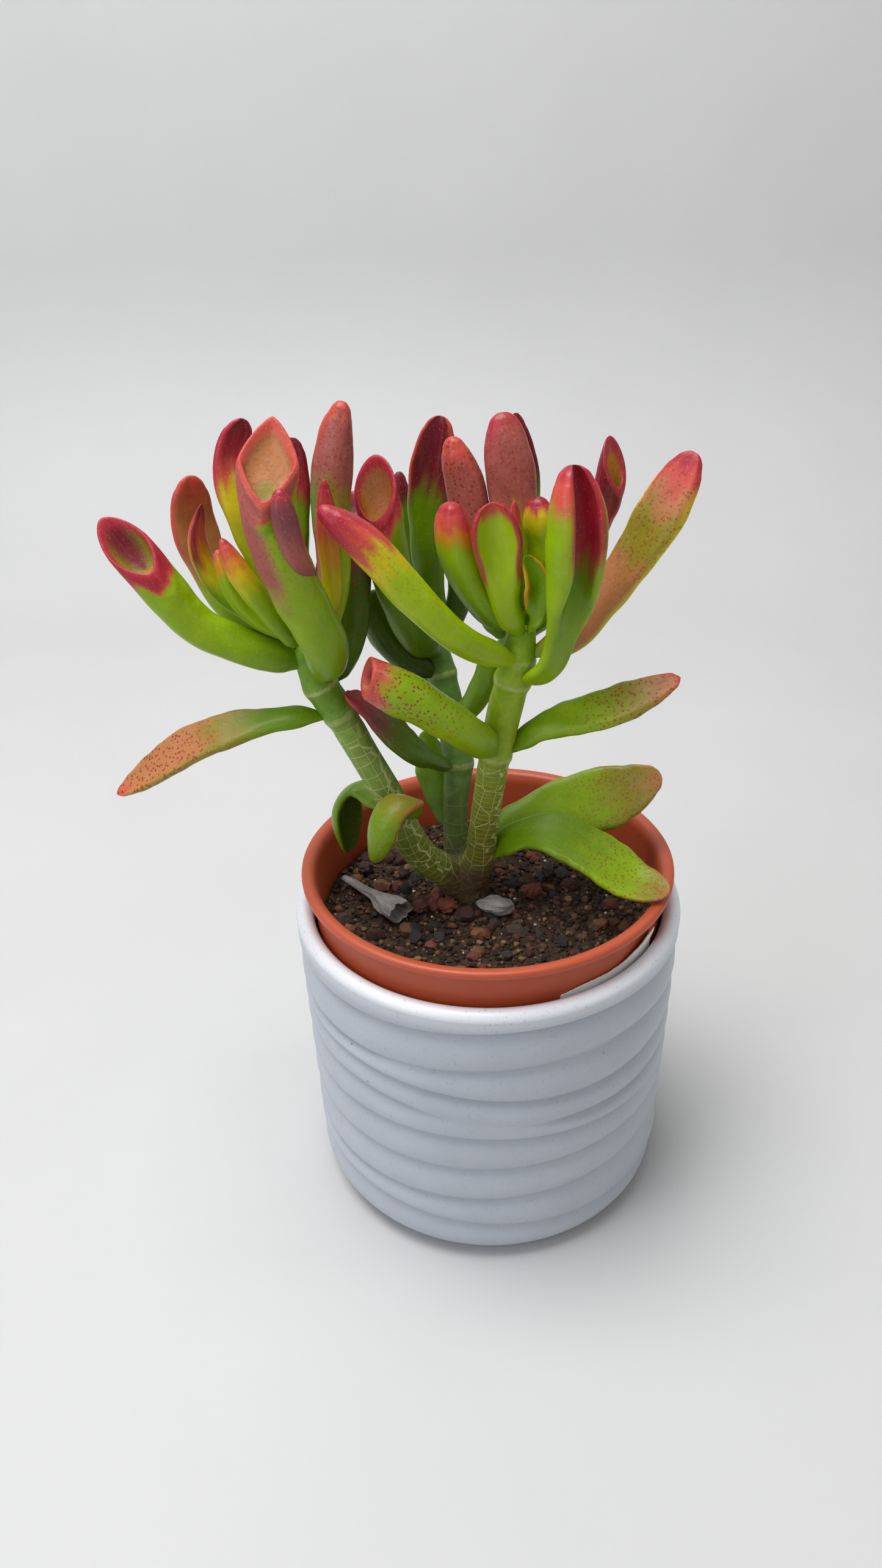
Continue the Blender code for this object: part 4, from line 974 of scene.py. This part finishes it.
def gradient(text):
    """Colour stops from a line such as '0 green .8 red'."""
    words = text.split()
    return [(float(share), linear(PALETTE[name])) for share, name in zip(words[::2], words[1::2])]


def colour_at(stops, share):
    for (low, first), (high, second) in zip(stops, stops[1:]):
        if share <= high:
            return blend(first, second, ease(share, low, high)) if high > low else second
    return stops[-1][1]


missing = [leaf.name for leaf in LEAVES if leaf.name not in LOOKS]
print("palette:", len(PALETTE), "colours; leaves without a look:", missing)

# %% The cross-section
LEAF_SIDES = 32
LEAF_STEPS = 46
SOFT_EDGE = 0.75                     # under 1 gives the slice a rounder, thicker edge
LEAST_BEND = 0.02                    # a flat slice still needs an arc to lie on
Mouth = namedtuple("Mouth", "slant flare square depth lip back")
# how a trumpet opens: its lean, its flare, how pointed it is, its cup, its lip's share, how far it sits back
MOUTHS = {
    "leaf_left_trumpet": Mouth(1.9, -0.04, 0.85, 5.5, 0.74, 1.0),
    "leaf_left_front": Mouth(1.75, 0.02, 0.66, 2.2, 0.74, 3.6),
    "leaf_left_back": Mouth(1.2, 0.05, 1.0, 3.0, 0.7, 0.0),
    "leaf_right_trumpet": Mouth(1.6, 0.0, 0.9, 5.0, 0.55, 0.0),
    "leaf_right_low_trumpet": Mouth(0.5, -0.22, 1.0, 6.0, 0.74, 0.0),
    "leaf_middle_trumpet": Mouth(1.7, -0.03, 0.9, 6.0, 0.68, 1.0),
}
# over the lip: how far across it, how far down, and the colour's way from the rim to the inside
LIP_RINGS = [(0.06, -0.45, 0.0), (0.22, -0.85, 0.0), (0.45, -0.95, 0.04), (0.66, -0.6, 0.10),
             (0.84, 0.2, 0.16), (0.96, 1.2, 0.26), (1.0, 2.2, 0.34)]
CUP_RINGS = [(0.86, 0.75), (0.62, 0.95), (0.34, 1.0), (0.1, 1.0)]      # shares of the width and the depth
PLUMP = 1.16                         # the living leaf over its drawn thickness
BROAD = 1.08                         # and over its drawn width


def slice_point(turn, half_width, half_thick, bend, square=1.0):
    """Across and up from the leaf's middle, for one point round the slice."""
    x = math.copysign(abs(math.cos(turn)) ** (1 / square), math.cos(turn))
    rise = math.copysign(abs(math.sin(turn)) ** (SOFT_EDGE if square == 1.0 else 1 / square), math.sin(turn))
    lean = bend * x
    reach = math.sin(min(bend, math.pi / 2))
    across = half_width * math.sin(lean) / reach - half_thick * rise * math.sin(lean)
    sag = 0.42 * half_width * (1 - math.cos(bend)) / reach
    upward = half_width * (1 - math.cos(lean)) / reach + half_thick * rise * math.cos(lean) - sag
    return across, upward


def leaf_line(leaf):
    """The leaf's middle line from inside its stem to its tip, its tangents, and where it gets free."""
    fine = smooth_route(lift(leaf.route), 60)
    skin_of_stem = STEM_ROUTES[leaf.stem]
    outside = [min((point - item.xyz).length - item.w for item in skin_of_stem) for point in fine]
    start = next(index for index, free in enumerate(outside) if free > -3.5)
    knots = fine[start:]
    leaves_at = next(index for index, free in enumerate(outside[start:]) if free > 0.0) / len(knots)
    route = smooth_route(knots[::3] + [knots[-1]], 120)
    return route, tangents(route), leaves_at


def width_share(kind, share, tip, leaves_at):
    """Width along the leaf: a flared foot where it clasps the stem, a long body, and a rounded tip."""
    body = {"finger": [(0, 0.62), (0.3, 0.82), (0.6, 0.96), (0.8, 1.0), (1, 1.0)],
            "spoon": [(0, 0.56), (0.25, 0.66), (0.5, 0.82), (0.75, 1.0), (1, 1.02)],
            "trumpet": [(0, 0.66), (0.25, 0.82), (0.5, 0.88), (0.75, 0.94), (1, 1.0)],
            "blade": [(0, 0.42), (0.2, 0.62), (0.45, 0.95), (0.7, 1.02), (1, 0.95)],
            "curl": [(0, 0.5), (0.3, 0.85), (0.6, 1.0), (1, 0.95)]}[kind]
    size = body[-1][1]
    for (low, first), (high, second) in zip(body, body[1:]):
        if share <= high:
            size = blend(first, second, ease(share, low, high))
            break
    size *= 0.42 + 0.58 * ease(share, 0.0, leaves_at + 0.08)
    if kind == "trumpet":
        return size
    shoulder = {"finger": 0.70, "spoon": 0.68, "blade": 0.58, "curl": 0.6}[kind]
    over = max(0.0, (share - shoulder) / (1 - shoulder))
    return size * max(0.0, 1 - over ** tip) ** (0.5 if tip >= 1.6 else 0.62)


print("a flat slice is", slice_point(0, 5, 3, 0.01), "wide; a bent one", slice_point(0, 5, 3, 1.2))

# %% Build one leaf
def build_leaf(leaf):
    look = LOOKS[leaf.name]
    route, along, leaves_at = leaf_line(leaf)
    face = Vector(leaf.face)
    skin = gradient(look.skin)
    inner = gradient(look.face) if look.face else skin
    flank = gradient(look.flank) if look.flank else None
    rim = linear(PALETTE[look.rim]) if look.rim else None
    mouth = MOUTHS.get(leaf.name)
    length = sum((b - a).length for a, b in zip(route, route[1:]))
    seed = Vector((len(leaf.name) * 7.3, leaf.width * 3.1, leaf.route[-1][0]))
    rings, colours, grains, dots = [], [], [], []

    def add_ring(share, size, sink, slant, tone, square):
        """tone is None on the skin, or how far into the cup a ring lies, from 0 at the lip to 1."""
        index = min(len(route) - 1, round(share * (len(route) - 1)))
        tangent = along[index]
        upper = (face - tangent * face.dot(tangent)).normalized()
        side = tangent.cross(upper)
        bend = LEAST_BEND + look.bend * ease(share, look.bend_from, min(1.0, look.bend_from + 0.5))
        thin = 1 - (1 - look.thin) * ease(share, look.bend_from, 0.8)
        half_width = BROAD * leaf.width / 2 * size
        half_thick = PLUMP * leaf.thick / 2 * size * thin
        ring, ring_colours, ring_grains, ring_dots = [], [], [], []
        for turn in circle(LEAF_SIDES):
            across, upward = slice_point(turn, half_width, half_thick, bend, square)
            x, rise = math.cos(turn), math.sin(turn)
            around = Vector((x, rise, share * length / 9))
            soft = 0.035 * noise.noise(around * 1.3 + seed) * leaf.width * min(1.0, size * 1.6)
            if leaf.kind in ("blade", "curl"):
                crinkle = noise.noise(Vector((share * length / 3.2, x, 0)) + seed)
                soft += 0.5 * abs(x) ** 6 * crinkle
            spot = route[index] + side * across + upper * upward - tangent * (sink + slant * upward)
            out = side * across + upper * upward
            if tone is None and out.length > 0.01:
                spot += out.normalized() * soft
            ring.append(spot)
            lengthwise = Vector((x * 2.4, rise * 2.4, share * length / 40))
            jitter = 0.075 * noise.noise(lengthwise + seed) + 0.03 * noise.noise(around * 2.5 + seed)
            if tone is None:
                facing = ease(rise, -0.15, 0.35)
                colour = colour_at(skin, share + jitter)
                if not mouth:
                    colour = blend(colour, colour_at(inner, share + jitter), facing)
                if flank:
                    toward_flank = ease(x * look.flank_side * math.copysign(1, side.x), -0.1, 0.5)
                    colour = blend(colour, colour_at(flank, share + jitter), toward_flank)
                if rim and not mouth:
                    edge = ease(abs(x), 0.90, 0.985) * ease(share, look.rim_from, look.rim_from + 0.12)
                    colour = blend(colour, rim, 0.85 * edge)
            else:
                colour = blend(rim, colour_at(inner, 0.5 + 0.5 * rise), ease(tone, 0.10, 0.34))
            ring_colours.append(colour)
            ring_grains.append((across, upward, share * length))
            ring_dots.append(look.dots * ease(share, 0.25, 0.7) if tone is None else 0.25)
        rings.append(ring)
        colours.append(ring_colours)
        grains.append(ring_grains)
        dots.append(ring_dots)

    for step in range(LEAF_STEPS + 1):
        share = step / LEAF_STEPS
        if not mouth:                 # rings crowd towards a closed tip
            share = 1 - (1 - share) ** 1.35
        size = width_share(leaf.kind, share, look.tip, leaves_at)
        if mouth:
            opening = ease(share, 0.62, 1.0)
            size *= 1 + mouth.flare * ease(share, 0.8, 1.0)
            add_ring(share, size, mouth.back * opening, mouth.slant * opening, None,
                     1 + (mouth.square - 1) * opening)
        else:
            add_ring(share, max(size, 0.03), 0.0, 0.0, None, 1.0)
    if mouth:
        full = width_share("trumpet", 1.0, 2, leaves_at) * (1 + mouth.flare)
        for lip, sink, tone in LIP_RINGS:
            size = full * (1 - (1 - mouth.lip) * lip)
            add_ring(1.0, size, mouth.back + sink, mouth.slant, tone, mouth.square)
        for share, depth in CUP_RINGS:
            add_ring(1.0, full * mouth.lip * share, mouth.back + 1.6 + mouth.depth * depth, mouth.slant, 1.0,
                     mouth.square)
    return loft(rings, colours, grains, dots)


print("rings on a leaf:", LEAF_STEPS + 1, "and 11 more in a mouth")

# %% [markdown]
# Leaf skin is waxy and a little translucent: light goes in, bounces in the watery flesh and comes out green.
# The gloss is soft and broken by tiny bumps. Fine lengthwise streaks follow the leaf, so they read the
# leaf's own grain place. Pale pores and, on the older leaves, red-brown dots are scattered evenly.

# %% Waxy leaf skin
leaf_skin, tree, shader = start_material("waxy jade leaf skin", Roughness=0.38, IOR=1.36,
                                         Subsurface_Weight=0.1, Subsurface_Scale=0.0016,
                                         Subsurface_Radius=(1.0, 0.9, 0.1), Coat_Weight=0.08,
                                         Coat_Roughness=0.3)
own = add(tree, "Attribute", attribute_name="tint")
grain = add(tree, "Attribute", attribute_name="grain")
dotted = add(tree, "Attribute", attribute_name="dots")
where = add(tree, "TexCoord").outputs["Object"]
cloud = add(tree, "TexNoise", {"Vector": where, "Scale": 160.0, "Detail": 4.0, "Roughness": 0.6})
cloud_share = add(tree, "MapRange", {"Value": cloud, "From Min": 0.35, "From Max": 0.75, "To Max": 0.3})
clouded = add(tree, "Mix", {0: cloud_share, MIX_A: own, MIX_B: "#b2c04a"}, data_type="RGBA",
              blend_type="MULTIPLY")
stretched = add(tree, "Mapping", {"Vector": grain.outputs["Vector"], "Scale": (1300.0, 1300.0, 110.0)})
streak = add(tree, "TexNoise", {"Vector": stretched, "Scale": 1.0, "Detail": 3.0})
streak_share = add(tree, "MapRange", {"Value": streak, "From Min": 0.45, "From Max": 0.8, "To Max": 0.08})
streaked = add(tree, "Mix", {0: streak_share, MIX_A: clouded, MIX_B: "#c9a860"}, data_type="RGBA")
dot_cells = add(tree, "TexVoronoi", {"Vector": where, "Scale": 820.0})
dot = add(tree, "MapRange", {"Value": dot_cells, "From Min": 0.44, "From Max": 0.16},
          interpolation_type="SMOOTHSTEP")
dot_here = add(tree, "Math", {0: dot, 1: dotted.outputs["Fac"]}, operation="MULTIPLY")
with_dots = add(tree, "Mix", {0: dot_here, MIX_A: streaked, MIX_B: "#8a2f26"}, data_type="RGBA")
pore_cells = add(tree, "TexVoronoi", {"Vector": where, "Scale": 1000.0})
pore = add(tree, "MapRange", {"Value": pore_cells, "From Min": 0.17, "From Max": 0.04, "To Max": 0.4})
pored = add(tree, "Mix", {0: pore, MIX_A: with_dots, MIX_B: "#d9d7a0"}, data_type="RGBA")
pebble = add(tree, "TexNoise", {"Vector": where, "Scale": 620.0, "Detail": 3.0})
bumpy = add(tree, "Bump", {"Height": pebble, "Strength": 0.26, "Distance": 0.0005})
plug(shader, {"Base Color": pored, "Normal": bumpy})
print("leaf skin nodes:", len(tree.nodes))

# %% Grow the leaves
LOBE = Leaf("leaf_left_lobe", "stem_left", "finger", 6.4, 5.6, (2, -9, 0),
            [(-46, -17, 116), (-47.5, -24, 124), (-49.5, -28, 134), (-51, -27, 145)])
triangles = 0
for leaf in [*LEAVES, LOBE]:
    stands_for = [] if leaf is LOBE else [leaf.name]
    piece = finish_piece("jade_" + leaf.name, build_leaf(leaf), leaf_skin, stands_for, 70)
    fine = piece.modifiers.new("fine skin", "SUBSURF")
    fine.levels = fine.render_levels = 1
    triangles += 8 * len(piece.data.polygons)
print("leaf triangles:", triangles)

# %% [markdown]
# ## Dried leaves and label
# Two shed leaves lie on the mix, shrunk and grey. The shrivelled skin is creased, and its grey is painted
# darker down in the creases and paler on their ridges, a painted shade. A torn scrap of white paper label
# stands between the two pots.

# %% Dried leaves
dry_skin, tree, shader = start_material("shrivelled leaf skin", Roughness=0.75, IOR=1.45)
where = add(tree, "TexCoord").outputs["Object"]
grain = add(tree, "Attribute", attribute_name="grain")
creased = add(tree, "Mapping", {"Vector": grain.outputs["Vector"], "Scale": (900.0, 900.0, 220.0)})
crease = add(tree, "TexNoise", {"Vector": creased, "Scale": 1.0, "Detail": 5.0, "Roughness": 0.6})
# painted shade: the noise that makes the creases also sets the grey, dark where they sink and pale where they
# rise
ash_grey_with_painted_crease_shade = add(tree, "Mix", {0: crease, MIX_A: "#454241", MIX_B: "#b9b5b0"}, data_type="RGBA")
wrinkled = add(tree, "Bump", {"Height": crease, "Strength": 0.9, "Distance": 0.0008})
plug(shader, {"Base Color": ash_grey_with_painted_crease_shade, "Normal": wrinkled})
DRIED = {
    "dried_leaf_trumpet": [(-49, 11, 2.0, 1.0), (-45, 7, 2.2, 1.4), (-41, 3, 2.4, 1.7), (-37, -1, 2.8, 2.2),
        (-33.5, -5.5, 3.4, 3.4), (-30.5, -9, 4.0, 4.3), (-28, -12, 4.4, 4.6)],
    "dried_leaf_curled": [(-3, -3.5, 1.8, 1.0), (-0.5, -5.5, 2.6, 2.6), (2.5, -7, 3.2, 3.5),
        (5.5, -7.2, 3.0, 3.3), (8, -6, 2.4, 2.2)],
}
for name, points in DRIED.items():
    route = smooth_route([(x, y, SOIL_TOP + height, radius) for x, y, height, radius in points], 40)
    along = tangents(route)
    rings, grains = [], []
    for index, (point, tangent) in enumerate(zip(route, along)):
        side = tangent.cross(Vector((0, 0, 1))).normalized()
        upper = side.cross(tangent)
        rings.append([])
        grains.append([])
        for turn in circle(30):
            x, rise = math.cos(turn), math.sin(turn)
            fold = 0.95 + 0.45 * noise.noise(Vector((x * 2.2 + len(name), rise * 2.2, index / 14)))
            rings[-1].append(point.xyz + point.w * fold * (side * x + upper * 0.8 * rise))
            grains[-1].append((x * point.w, rise * point.w, index * 0.6))
    if name == "dried_leaf_trumpet":
        mouth = rings[-1]
        middle = sum(mouth, Vector()) / len(mouth)
        for size, depth in ((0.93, -0.3), (0.82, 0.2), (0.7, 2.0), (0.5, 4.0), (0.2, 5.0)):
            rings.append([middle + (spot - middle) * size - along[-1] * depth for spot in mouth])
            grains.append(grains[-1])
    finish_piece("shed_" + name[11:], loft(rings, grains=grains), dry_skin, [name], 60)
print("dried leaves:", len(DRIED))

# %% Paper label
paper, tree, shader = start_material("uncoated label paper", Roughness=0.8, IOR=1.45)
where = add(tree, "TexCoord").outputs["Object"]
pulp = add(tree, "TexNoise", {"Vector": where, "Scale": 500.0, "Detail": 6.0})
pulped = add(tree, "Mix", {0: pulp, MIX_A: "#efeeea", MIX_B: "#fbfaf7"}, data_type="RGBA")
fibres = add(tree, "Bump", {"Height": pulp, "Strength": 0.25, "Distance": 0.0002})
plug(shader, {"Base Color": pulped, "Normal": fibres})
LABEL_STEPS = (80, 8)
bm = bmesh.new()
bmesh.ops.create_grid(bm, x_segments=LABEL_STEPS[0], y_segments=LABEL_STEPS[1], size=0.5)
for vert in bm.verts:
    share, rise = vert.co.x + 0.5, vert.co.y + 0.5
    rag = 0.6 * math.sin(9.0 * share) + 0.35 * noise.noise(Vector((share * 45, 0, 0)))
    level = blend(BAND_FOOT, CERAMIC_HEIGHT - 1.2 + 5.4 * share + rag, rise)
    lean = 1.3 * ease(level, CERAMIC_HEIGHT - 2, CERAMIC_HEIGHT + 5)
    curl = 0.3 * noise.noise(Vector((share * 6, level / 6, 3))) ** 2
    vert.co = mm(*turned(WALL_TOP + 0.35 + lean + curl, level, math.radians(blend(22.0, 62.0, share))))
bmesh.ops.recalc_face_normals(bm, faces=bm.faces)
bmesh.ops.solidify(bm, geom=list(bm.faces), thickness=-0.3 * MM)
finish_piece("paper_label", bm, paper, ["label"], 50)
print("label steps:", LABEL_STEPS)
